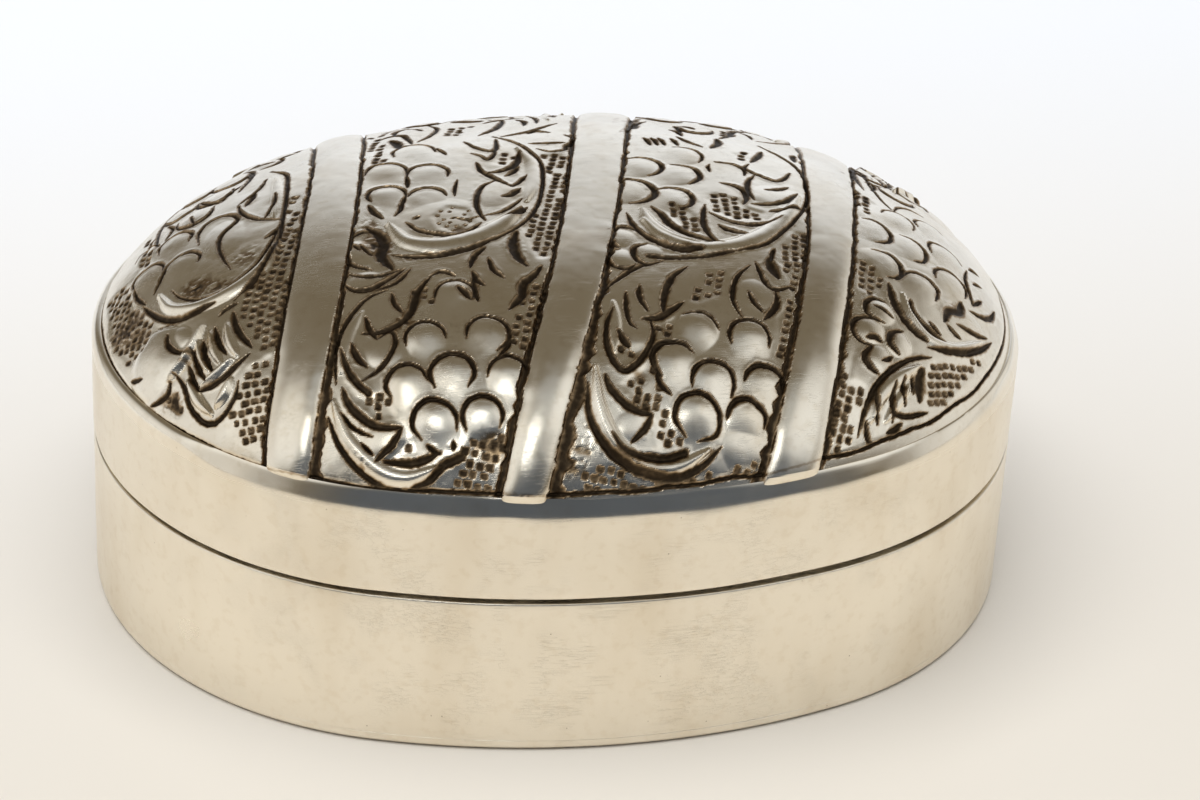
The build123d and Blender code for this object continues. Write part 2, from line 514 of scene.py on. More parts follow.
# %% Bumps and stems
def cushion(x0, y0, radius, height, stretch=1.0, angle=0.0):
    """Raises a round or oval bump."""
    (centre,) = placed([(x0, y0)])
    here, x, y = window(centre[None, :], radius * max(1.0, stretch) * 1.3)
    turn = math.radians(angle)
    u = (x - centre[0]) * math.cos(turn) + (y - centre[1]) * math.sin(turn)
    v = (y - centre[1]) * math.cos(turn) - (x - centre[0]) * math.sin(turn)
    s = np.hypot(u / (radius * stretch), v / radius)
    bump = height * (0.4 + 0.6 * strike["fullness"]) * np.clip(1 - s * s, 0, 1) ** 0.9
    swell[here] = np.maximum(swell[here], bump)


def ridge(points, width, height):
    """Raises a rounded stem along a curve."""
    curve = curve_through(placed(points), 0.3)
    here, x, y = window(curve, width)
    away, t = nearest(curve, x, y)
    half = 0.5 * width * np.maximum(TAPERS["both"](t), 0.25)
    bump = 1.4 * height * np.clip(1 - (away / half) ** 2, 0, 1)
    swell[here] = np.maximum(swell[here], bump)


print("bumps and stems ready")

# %% [markdown]
# A scale is the unit of every bunch: a body that is full under its top edge and dies away
# below, and a crescent cut round the top. The crescent wobbles, as a hand does.

# %% Scales
def petal(x0, y0, radius, facing, height):
    """Raises one scale's body: full at the top, where it faces, and dying away behind."""
    (centre,) = placed([(x0, y0)])
    here, x, y = window(centre[None, :], radius * 2.0)
    turn = math.radians(facing)
    u = ((x - centre[0]) * math.cos(turn) + (y - centre[1]) * math.sin(turn)) * strike["turn"]
    v = (y - centre[1]) * math.cos(turn) - (x - centre[0]) * math.sin(turn)
    s = np.hypot(np.where(u < 0, 0.62 * u, u), v) / radius
    fade = np.clip((u / radius + 1.5) / 2.0, 0, 1)
    bump = height * np.clip(1 - s * s, 0, 1) ** 0.75 * fade * fade * (3 - 2 * fade)
    swell[here] = np.maximum(swell[here], bump)


def scale(x0, y0, radius, facing, sweep=200, width=0.30, height=0.30):
    """One scale of the bunches: a swelling body with a crescent cut round its top."""
    turns = np.radians(facing + np.linspace(0.5, -0.5, 7) * sweep)
    wobble = 1 + chance.uniform(-0.05, 0.05, 7)
    rim = [(x0 + radius * w * math.cos(a), y0 + radius * w * math.sin(a))
           for a, w in zip(turns, wobble)]
    petal(x0, y0, radius * 1.05, facing, height * strike["fullness"])
    cut(rim, width, 0.17)


print("scales ready")

# %% [markdown]
# The ground between the motifs is matted with a small square punch, in slanting rows.
# Each mark has its own size, depth and darkness, and a few are missing. The ground sinks
# a little under the blows.

# %% Matting punch
def inside(outline, x, y):
    """Which cells lie in a closed outline."""
    found = np.zeros(x.shape, bool)
    for (ax, ay), (bx, by) in zip(outline, np.roll(outline, -1, axis=0)):
        crosses = (ay > y) != (by > y)
        reach = ax + (y - ay) * (bx - ax) / (by - ay if by != ay else 1e-9)
        found ^= crosses & (x < reach)
    return found


def mat(outline, slant=72, gap=0.60, row_gap=0.57, size=0.39, dark=0.93, missing=0.05):
    """Fills a closed outline with slanting rows of small square pits, a little uneven."""
    outline = placed(outline)
    centre, reach = outline.mean(0), np.ptp(outline, axis=0).max() * 0.75 + gap
    lean = math.radians(slant)
    along = np.array([math.cos(lean), math.sin(lean)])
    across = np.array([-along[1], along[0]])
    here, x, y = window(outline, 0.2)
    sunk[here] = np.maximum(sunk[here], 0.06 * inside(outline, x, y))
    count = int(reach / min(gap, row_gap)) + 1
    for row in range(-count, count + 1):
        drift = (0.5 * (row % 2) + chance.uniform(-0.15, 0.15)) * gap
        for step in range(-count, count + 1):
            middle = centre + along * (step * gap + drift) + across * row * row_gap
            middle = middle + chance.uniform(-0.05, 0.05, 2)
            if chance.uniform() < missing or not inside(outline, *middle):
                continue
            pit(middle, along, across, size, dark)


def pit(middle, along, across, size, dark):
    """One mark of the square punch."""
    long, short = size * chance.uniform(0.85, 1.2), size * chance.uniform(0.8, 1.05)
    here, x, y = window(middle[None, :], size)
    u = np.abs((x - middle[0]) * along[0] + (y - middle[1]) * along[1]) / (0.5 * long)
    v = np.abs((x - middle[0]) * across[0] + (y - middle[1]) * across[1]) / (0.5 * short)
    s = (u**5 + v**5) ** 0.2 * (1 + 0.15 * ragged[here])
    depth = 0.12 * chance.uniform(0.6, 1.1)
    pits[here] = np.maximum(pits[here], depth * np.clip(1.15 - s, 0, 1) ** 0.7)
    shade = dark * chance.uniform(0.75, 1.0)
    black[here] = np.maximum(black[here], shade * np.clip(2.9 - 2.1 * s, 0, 1))


print("matting punch ready")

# %% [markdown]
# In tight corners the blackening was never polished off. A stain is a rough patch with a
# blotchy edge, and it is slightly pitted too.

# %% Stains
def stain(x0, y0, radius, amount, stretch=1.0, angle=0.0):
    """Leaves a patch of the blackening where the polishing cloth didn't reach."""
    (centre,) = placed([(x0, y0)])
    here, x, y = window(centre[None, :], radius * max(1.0, stretch) * 1.6)
    turn = math.radians(angle)
    u = (x - centre[0]) * math.cos(turn) + (y - centre[1]) * math.sin(turn)
    v = (y - centre[1]) * math.cos(turn) - (x - centre[0]) * math.sin(turn)
    s = np.hypot(u / (radius * stretch), v / radius) + 0.15 * ragged[here] + 0.3 * blotchy[here]
    patch = np.clip(1.25 - s, 0, 1) * np.clip(0.70 + 0.9 * ragged[here], 0, 1)
    black[here] = np.maximum(black[here], amount * patch)
    pits[here] = np.maximum(pits[here], 0.07 * amount * patch)


print("stains ready")

# %% [markdown]
# ## The ornament
# Each panel holds round bunches of scales, wrapped in a stem with claw-like leaves. The
# numbers are chart millimetres: x to the right, y towards the hinge, from the crown.

# %% Panel two, front motif
def panel_two_front():
    """The bunch of scales with claws low in the second panel."""
    scale(-10.4, -13.2, 1.15, 90, 205, 0.36)
    scale(-6.9, -13.6, 1.25, 55, 260, 0.34)
    scale(-12.0, -15.9, 1.2, 105, 215, 0.36)
    scale(-9.35, -15.8, 1.25, 80, 265, 0.38, 0.24)
    scale(-6.2, -16.5, 1.2, 80, 190, 0.32)
    scale(-10.85, -18.5, 1.3, 95, 250, 0.34, 0.3)
    scale(-8.1, -18.7, 1.2, 85, 250, 0.34, 0.28)
    scale(-8.2, -10.2, 1.15, 75, 220, 0.34)
    cut([(-11.6, -19.6), (-11.3, -20.0), (-10.9, -20.25)], 0.3)
    cut([(-10.0, -19.7), (-10.1, -20.2)], 0.3)
    cut([(-8.0, -9.7), (-7.7, -10.3), (-7.4, -10.85)], 0.42)
    cut([(-13.5, -10.7), (-13.4, -11.8), (-13.1, -12.6)], 0.34)
    cut([(-13.9, -11.9), (-12.9, -12.15), (-11.9, -11.9), (-11.0, -11.2), (-10.6, -10.4),
         (-10.2, -9.4), (-9.3, -8.3)], 0.5)
    cut([(-13.1, -12.6), (-12.3, -12.2), (-12.1, -12.9), (-12.5, -13.8), (-13.3, -14.6),
         (-14.5, -15.1)], 0.3)
    cut([(-14.6, -12.4), (-14.5, -13.4), (-14.0, -14.3)], 0.4)
    cut([(-15.25, -12.6), (-15.15, -14.1), (-14.75, -15.2), (-14.3, -15.9)], 0.42, taper="start")
    cut([(-15.7, -15.1), (-15.5, -16.4), (-14.7, -17.6), (-13.7, -18.2), (-12.8, -18.35)], 0.5)
    cut([(-16.1, -16.6), (-15.6, -17.7), (-14.6, -18.5)], 0.22)
    cut([(-12.8, -18.4), (-13.6, -19.2), (-14.8, -19.8)], 0.4)
    cut([(-15.4, -18.6), (-15.1, -19.1), (-14.8, -19.5)], 0.22)
    cut([(-16.9, -16.6), (-16.7, -18.4), (-15.9, -20.1), (-14.6, -21.3), (-13.0, -21.75)], 0.36)
    cut([(-14.4, -19.9), (-13.2, -20.3), (-12.0, -20.4), (-10.85, -20.15)], 0.46)
    cut([(-13.2, -21.65), (-11.9, -21.5), (-10.9, -20.9), (-9.7, -20.65)], 0.5, taper="start")
    cut([(-11.9, -8.9), (-13.3, -9.4), (-14.7, -10.9), (-15.6, -12.8), (-16.0, -14.8)], 0.3)
    cut([(-11.7, -9.2), (-11.7, -10.2), (-11.35, -11.0)], 0.3)
    cut([(-6.9, -8.3), (-6.8, -9.2), (-6.4, -9.75)], 0.36)
    cut([(-7.0, -9.0), (-7.05, -10.0), (-7.0, -11.0)], 0.34)
    cut([(-2.9, -8.4), (-3.5, -9.3), (-4.2, -9.9), (-4.5, -10.9), (-5.4, -11.95)], 0.55)
    cut([(-6.6, -15.25), (-5.9, -14.6), (-5.6, -13.9)], 0.24)
    ridge([(-16.4, -15.8), (-16.1, -18.2), (-14.9, -20.2), (-13.2, -21.1), (-11.0, -20.9)], 1.0, 0.16)
    ridge([(-13.6, -10.3), (-14.8, -12.0), (-15.6, -14.2)], 0.9, 0.12)
    cushion(-12.9, -13.6, 1.1, 0.14)
    cushion(-14.1, -18.9, 1.0, 0.14, 1.5, 20)
    mat([(-15.0, -15.9), (-13.3, -16.2), (-13.0, -17.7), (-14.2, -17.5)])
    mat([(-4.2, -9.9), (-2.9, -10.1), (-3.6, -13.0), (-4.4, -15.2), (-5.6, -14.7), (-5.4, -12.4)])
    mat([(-8.9, -19.6), (-6.9, -20.0), (-7.4, -21.6), (-8.2, -22.7), (-10.7, -22.4),
         (-10.2, -21.3)], 160)
    mat([(-13.3, -19.2), (-12.1, -19.1), (-12.0, -20.0), (-13.2, -20.0)])
    mat([(-10.5, -9.2), (-9.4, -9.2), (-9.6, -10.6), (-10.6, -11.0)])
    mat([(-14.4, -21.4), (-13.0, -22.0), (-12.9, -22.4), (-14.9, -21.8)], 160)
    stain(-11.3, -11.5, 0.7, 0.9, 1.6, 40)
    stain(-7.8, -20.3, 0.8, 0.9, 1.4, 20)
    stain(-16.0, -19.5, 0.6, 0.5, 2.0, -55)


print("panel two front is ready to strike")

# %% [markdown]
# Under the crown the second panel has another bunch, with its stem, a bud and a flower.
# The strokes are written out one by one, because a hand never repeats them.

# %% Panel two, middle motif
def panel_two_middle():
    """The bunch under the crown of the second panel, with its stem, bud and flower."""
    scale(-10.1, 4.4, 1.25, 80, 200, 0.34)
    scale(-7.75, 3.5, 1.25, 80, 215, 0.34)
    scale(-10.5, 1.2, 1.15, 95, 230, 0.38)
    scale(-8.2, 0.4, 1.15, 80, 170, 0.36)
    scale(-8.0, 7.0, 1.3, 90, 210, 0.26)
    cut([(-9.0, 3.4), (-9.05, 2.6), (-9.15, 1.9)], 0.26)
    cut([(-11.7, 0.3), (-11.5, -0.8), (-11.1, -1.7)], 0.42)
    cut([(-9.4, 0.9), (-9.8, -0.2), (-10.0, -0.9), (-10.4, -1.5)], 0.3)
    cut([(-6.1, 2.3), (-6.4, 1.3), (-6.6, 0.2)], 0.2)
    cut([(-6.6, 7.3), (-6.4, 6.7), (-6.2, 6.0)], 0.22)
    cut([(-9.9, -2.4), (-9.3, -3.5), (-8.3, -4.2), (-7.3, -4.5), (-6.4, -4.2), (-5.6, -3.4)], 0.42)
    cut([(-9.4, -2.2), (-9.0, -1.9)], 0.3)
    cut([(-7.0, -2.5), (-6.3, -2.85), (-5.6, -2.6)], 0.24)
    cut([(-3.9, 1.8), (-4.7, 1.2), (-5.2, 0.2), (-5.5, -1.0), (-5.5, -2.2), (-5.3, -3.2)], 0.34)
    cut([(-4.6, 4.5), (-4.55, 3.4), (-4.2, 2.6), (-3.6, 1.7), (-3.0, 0.9)], 0.38)
    cut([(-3.1, 0.9), (-2.6, 1.4), (-1.9, 2.4)], 0.3)
    cut([(-3.9, -0.4), (-3.2, -0.1), (-2.6, 0.7)], 0.42)
    cut([(-5.2, -2.5), (-4.3, -2.25), (-3.5, -1.6), (-2.7, -0.6)], 0.26)
    cut([(-4.4, -3.0), (-3.4, -2.7), (-2.6, -1.8)], 0.36)
    cut([(-4.2, 3.0), (-3.5, 3.05), (-2.7, 3.5), (-2.1, 4.4), (-1.75, 5.8)], 0.46)
    cut([(-3.2, 2.4), (-2.7, 2.8), (-2.2, 3.6)], 0.36)
    cut([(-4.8, 8.1), (-4.3, 6.8), (-3.6, 6.1), (-3.1, 6.4), (-2.8, 8.2)], 0.32)
    cut([(-4.7, 5.9), (-4.2, 5.4), (-3.9, 4.8), (-3.4, 5.4), (-3.2, 6.1)], 0.28)
    cut([(-2.9, 8.7), (-1.7, 7.3), (-1.0, 5.6), (-0.75, 4.0), (-1.0, 2.0), (-1.4, 0.2),
         (-2.1, -1.9), (-3.2, -3.7), (-4.6, -5.0), (-6.2, -5.9)], 0.24, taper="none")
    cut([(-5.2, -5.4), (-6.6, -6.1), (-8.2, -6.4), (-9.8, -6.3), (-11.2, -5.8)], 0.44)
    cut([(-12.2, -2.4), (-11.6, -3.4), (-11.5, -4.6), (-11.8, -5.8), (-11.3, -7.2)], 0.8, 0.2)
    cut([(-13.1, -3.2), (-12.5, -2.85), (-11.9, -3.1)], 0.3)
    cut([(-13.2, -4.0), (-12.9, -4.9)], 0.26)
    cut([(-12.8, -4.2), (-12.6, -4.9), (-12.3, -5.6)], 0.28)
    cut([(-13.9, -5.4), (-13.4, -6.2), (-12.5, -6.9)], 0.3)
    cut([(-13.9, -6.8), (-13.0, -7.5), (-12.1, -7.6), (-11.0, -7.3)], 0.3)
    cut([(-14.3, -7.6), (-13.8, -8.4), (-12.9, -8.65), (-11.7, -8.0), (-10.6, -7.2)], 0.36)
    cut([(-12.6, -8.8), (-11.3, -8.4), (-10.3, -7.3)], 0.24)
    cut([(-3.7, -4.6), (-4.15, -5.9), (-4.15, -7.3), (-3.7, -8.4)], 0.62)
    cut([(-5.8, -6.1), (-6.6, -7.0), (-7.0, -8.0)], 0.4)
    cut([(-5.8, -7.2), (-5.7, -8.4), (-5.2, -9.3)], 0.36)
    cut([(-9.4, -8.3), (-8.6, -8.0), (-7.9, -8.6)], 0.3)
    ridge([(-10.9, -2.6), (-10.2, -4.6), (-8.4, -5.4), (-6.4, -5.1), (-4.6, -3.9), (-3.0, -2.0)],
          1.7, 0.22)
    ridge([(-2.5, -1.0), (-1.7, 1.4), (-1.3, 4.0), (-1.8, 6.4)], 1.0, 0.14)
    cushion(-4.2, 0.2, 1.3, 0.14, 1.4, 60)
    cushion(-12.9, -5.0, 1.0, 0.18, 1.3, 100)
    cushion(-13.0, -7.9, 0.9, 0.16, 1.2, 0)
    cushion(-7.4, -2.2, 2.2, 0.12)
    mat([(-8.3, -2.2), (-7.2, -1.0), (-6.1, -1.6), (-6.0, -3.4), (-7.2, -4.1), (-8.1, -3.6)],
        60, 0.5, 0.5, 0.2, 0.8, 0.3)
    cut([(-0.6, 6.3), (0.1, 5.8), (1.0, 5.9), (1.3, 6.6), (1.7, 7.0), (1.9, 7.8), (1.5, 8.5)], 0.3)
    cut([(-0.9, 7.2), (0.2, 7.1), (1.3, 7.1)], 0.28)
    mat([(-3.7, 4.2), (-3.3, 5.2), (-2.5, 5.9), (-2.2, 4.8), (-2.9, 3.9)])
    mat([(0.9, 5.3), (-0.5, 5.3), (-0.6, 2.0), (-1.2, 0.0), (-2.0, -2.2), (-3.3, -4.1),
         (-3.0, -7.6), (-2.2, -7.6), (-1.2, -4.4), (0.0, 0.0), (0.8, 3.0)])
    mat([(-10.7, 5.9), (-9.9, 6.1), (-9.9, 8.6), (-10.3, 8.8)])
    stain(-11.8, -4.6, 0.9, 0.95, 2.0, 90)
    stain(-12.0, -2.2, 0.6, 0.7)
    stain(-7.0, -4.0, 0.5, 0.7, 1.8, 5)
    stain(-9.6, -6.3, 0.35, 0.9, 3.6, 0)


print("panel two middle is ready to strike")

# %% [markdown]
# Low in the third panel lies a bunch with a round ball and long claws. It is like the
# second panel's, but each stroke has its own points.

# %% Panel three, front motif
def panel_three_front():
    """The bunch low in the third panel, with a round ball and long claws."""
    scale(5.2, -14.1, 1.2, 60, 130, 0.34)
    scale(8.2, -14.7, 1.25, 85, 230, 0.36)
    scale(3.5, -16.4, 1.3, 125, 200, 0.42, 0.24)
    scale(5.6, -17.6, 1.3, 75, 240, 0.36, 0.24)
    scale(8.7, -17.7, 1.2, 75, 190, 0.46, 0.24)
    scale(4.4, -19.7, 1.4, 70, 330, 0.36, 0.34)
    scale(7.4, -19.8, 1.2, 80, 200, 0.42, 0.24)
    cut([(2.3, -17.0), (2.5, -17.8), (3.0, -18.4)], 0.34)
    cut([(1.5, -11.1), (1.3, -12.4), (1.3, -13.6), (1.6, -14.15)], 0.3)
    cut([(2.4, -10.6), (2.2, -11.6), (2.5, -12.8)], 0.36)
    cut([(5.5, -9.0), (4.5, -9.9), (3.9, -11.0), (3.5, -12.2), (3.4, -13.1)], 0.44)
    cut([(2.0, -13.35), (3.0, -13.3), (3.8, -12.8), (4.7, -12.1)], 0.46)
    cut([(2.5, -13.3), (2.55, -14.4), (2.1, -15.4), (1.3, -16.4), (0.5, -16.85), (0.0, -16.4),
         (-0.25, -15.4), (-0.2, -14.3), (0.1, -13.3), (0.5, -12.5)], 0.42)
    cut([(0.5, -14.1), (0.75, -14.9), (1.0, -15.4)], 0.46)
    cut([(-0.7, -17.0), (-0.5, -17.9), (0.3, -18.9), (1.1, -19.4), (1.75, -19.5)], 0.5)
    cut([(1.75, -19.5), (1.2, -20.3), (0.3, -21.0)], 0.4)
    cut([(-0.8, -20.4), (-0.2, -21.3), (1.0, -21.8), (2.4, -21.95), (3.5, -21.65)], 0.5,
        taper="start")
    cut([(-1.75, -17.4), (-1.95, -19.3), (-1.3, -21.0), (0.0, -22.2), (1.6, -22.8),
         (3.2, -22.9), (4.6, -22.3), (5.8, -21.3)], 0.56)
    cut([(9.7, -8.4), (9.8, -9.5), (10.0, -10.6), (10.6, -10.85), (11.5, -10.4)], 0.36)
    cut([(10.6, -7.9), (10.6, -8.9), (10.85, -9.9)], 0.66)
    cut([(9.3, -8.8), (8.4, -9.8), (7.85, -11.0), (7.7, -12.1), (8.0, -13.3)], 0.3)
    cut([(8.7, -11.2), (8.9, -12.1), (9.35, -12.8)], 0.32)
    cut([(10.45, -11.0), (10.3, -12.0), (9.8, -12.8), (9.25, -13.35)], 0.42)
    cut([(0.3, -10.9), (1.4, -9.9), (2.6, -9.0), (4.2, -8.4)], 0.32)
    cut([(1.1, -8.8), (1.9, -9.1), (2.5, -8.7)], 0.3)
    ridge([(-1.2, -16.5), (-1.3, -18.8), (-0.7, -20.8), (0.9, -22.3), (3.0, -22.4),
           (5.0, -21.5)], 1.1, 0.2)
    ridge([(0.6, -12.0), (0.4, -13.6), (0.1, -15.6)], 0.9, 0.12)
    cushion(0.6, -20.0, 0.9, 0.12, 1.6, 30)
    cushion(1.6, -14.6, 0.9, 0.12, 1.3, 60)
    cushion(9.2, -11.4, 1.3, 0.12)
    cushion(7.2, -21.3, 1.4, 0.12)
    mat([(5.0, -11.9), (6.7, -9.3), (7.7, -9.7), (6.9, -11.5), (5.6, -12.2)])
    mat([(11.4, -8.2), (12.6, -8.3), (11.9, -11.5), (11.1, -13.2), (10.2, -16.4), (9.6, -15.9),
         (10.1, -13.2), (11.4, -11.2)])
    mat([(0.3, -15.3), (1.8, -15.3), (1.3, -16.2), (0.4, -16.5)])
    mat([(2.1, -16.5), (0.9, -17.1), (0.1, -17.7), (1.1, -18.8), (2.2, -19.9), (1.9, -21.3),
         (3.7, -21.4), (3.0, -20.2), (2.6, -18.9), (2.7, -18.3)])
    mat([(-2.9, -22.6), (-1.4, -22.2), (0.8, -23.0), (3.0, -23.3), (5.3, -22.6), (5.4, -23.3),
         (2.0, -23.7), (-2.8, -23.5)], 165)
    mat([(6.2, -22.5), (8.5, -22.0), (8.6, -22.9), (6.6, -23.1)], 165)
    mat([(2.8, -13.6), (4.1, -13.3), (4.1, -14.4), (3.0, -14.6)])
    stain(-3.1, -21.4, 0.9, 1.0, 1.3, 60)
    stain(-2.0, -19.8, 0.35, 0.9, 3.0, 80)
    stain(5.4, -21.5, 0.4, 0.7, 1.6, 40)
    stain(1.3, -17.2, 0.5, 0.5)


print("panel three front is ready to strike")

# %% [markdown]
# Under the crown of the third panel the scales of the bunch face right.

# %% Panel three, middle motif
def panel_three_middle():
    """The bunch under the crown of the third panel, its scales facing right."""
    scale(5.1, 2.9, 1.3, 15, 190, 0.34)
    scale(7.2, 1.8, 1.35, 10, 170, 0.36)
    scale(3.8, -0.3, 1.5, 5, 210, 0.44)
    scale(6.1, -1.4, 1.35, 20, 190, 0.38)
    scale(8.0, 4.6, 1.3, 25, 150, 0.24)
    cut([(9.6, 0.8), (10.4, 0.4), (10.8, -0.3), (10.75, -1.3), (10.4, -2.0)], 0.44)
    cut([(9.5, 3.4), (9.3, 2.9), (9.3, 2.3)], 0.2)
    cut([(9.9, 3.8), (11.0, 3.6), (11.55, 2.8), (11.4, 2.0)], 0.3)
    cut([(12.1, 3.9), (11.7, 3.1), (12.4, 2.2), (13.3, 1.65), (14.0, 2.2), (14.6, 3.2)], 0.36)
    cut([(12.0, 2.1), (11.4, 1.1), (11.1, -0.2), (11.2, -1.4)], 0.34)
    cut([(12.2, 0.05), (13.1, 0.3), (13.9, 0.9)], 0.4)
    cut([(10.9, -1.9), (12.0, -1.9), (13.2, -1.3), (14.3, 0.1)], 0.42)
    cut([(11.8, -2.8), (12.8, -2.55), (14.0, -2.0)], 0.42)
    cut([(8.0, -3.1), (8.8, -4.0), (10.0, -4.5), (11.2, -4.3), (12.4, -3.6)], 0.36)
    cut([(8.3, -4.6), (8.8, -5.2), (9.9, -5.5)], 0.46)
    cut([(8.0, -2.2), (7.6, -3.5), (7.4, -4.8), (7.6, -6.1), (8.1, -6.8)], 0.36)
    cut([(4.7, -2.3), (5.1, -3.2), (5.35, -4.3), (5.9, -5.3), (6.9, -6.1), (7.9, -6.7)], 0.5)
    cut([(3.1, -3.0), (3.2, -4.4), (3.7, -5.7), (4.5, -6.7), (5.4, -7.3), (6.6, -7.35)], 0.5,
        taper="start")
    cut([(8.5, 8.1), (8.9, 7.0), (9.7, 6.2)], 0.3)
    cut([(11.1, 8.2), (10.9, 7.0), (10.2, 6.1)], 0.5)
    cut([(13.6, 6.5), (13.0, 5.2), (12.3, 4.2)], 0.42)
    for tick in (6.3, 6.75, 7.2, 8.0):
        cut([(tick, 7.6), (tick + 0.1, 7.0), (tick + 0.15, 6.2)], 0.3)
    cut([(15.9, 7.0), (15.6, 6.2), (15.5, 5.4)], 0.42)
    cut([(3.4, -7.95), (5.0, -8.15), (7.0, -8.0), (9.0, -7.45)], 0.34, taper="end")
    cut([(8.6, -7.6), (10.7, -6.6), (12.2, -5.0), (13.3, -3.5), (14.2, -1.9), (14.9, 0.0),
         (15.35, 2.4), (15.3, 4.2), (14.7, 6.0), (13.7, 7.7)], 0.22, taper="none")
    cut([(14.3, -2.6), (14.9, -0.8), (15.2, 0.9)], 0.16)
    cut([(1.5, -5.0), (2.1, -4.7), (2.8, -4.7), (3.3, -5.1)], 0.34)
    cut([(1.9, -6.9), (1.6, -6.5), (1.75, -6.1)], 0.36)
    cut([(3.6, -6.6), (2.85, -6.9), (2.6, -7.7), (2.8, -8.4), (3.4, -8.8)], 0.4)
    cut([(1.9, -7.1), (1.25, -7.3), (1.0, -8.0), (1.25, -8.8), (2.0, -9.0)], 0.34)
    cut([(11.2, -6.9), (10.9, -7.6), (10.7, -8.3)], 0.3)
    ridge([(3.9, -4.0), (4.8, -6.0), (6.8, -7.2), (9.0, -6.8), (11.2, -5.3), (12.8, -3.2),
           (14.2, -0.6)], 1.5, 0.18)
    ridge([(4.1, -2.6), (4.3, -4.4), (5.2, -5.9), (6.8, -6.8)], 1.1, 0.16)
    cushion(12.6, -0.5, 1.3, 0.14, 1.3, 30)
    cushion(2.1, -5.9, 1.0, 0.16)
    cushion(1.8, -8.0, 0.9, 0.16)
    cushion(3.5, -7.6, 0.9, 0.14)
    mat([(8.9, -0.6), (10.3, -1.4), (10.6, -2.4), (11.5, -2.9), (11.2, -3.8), (9.4, -3.9),
         (8.3, -2.9), (8.3, -1.4)], 84)
    mat([(5.9, -2.1), (6.9, -2.9), (7.2, -3.7), (6.9, -5.6), (6.0, -4.8), (5.6, -3.3)], 84)
    mat([(11.5, 5.4), (12.4, 5.9), (12.4, 4.8), (11.7, 4.4)])
    mat([(13.0, -4.9), (13.7, -5.1), (12.9, -7.8), (11.6, -8.0), (11.6, -7.0)], 78)
    for x, y in ((14.1, -5.6), (14.0, -7.0), (13.8, -8.9), (13.3, -9.5), (13.1, -10.7)):
        stain(x, y, 0.22, 0.8)
    stain(5.8, -7.2, 0.4, 0.9, 1.6, 10)
    stain(3.2, -4.8, 0.3, 0.7, 2.0, 100)


print("panel three middle is ready to strike")

# %% [markdown]
# The panel at the left end has a teardrop bunch of four scales, with a dark hollow and
# matted ground round it.

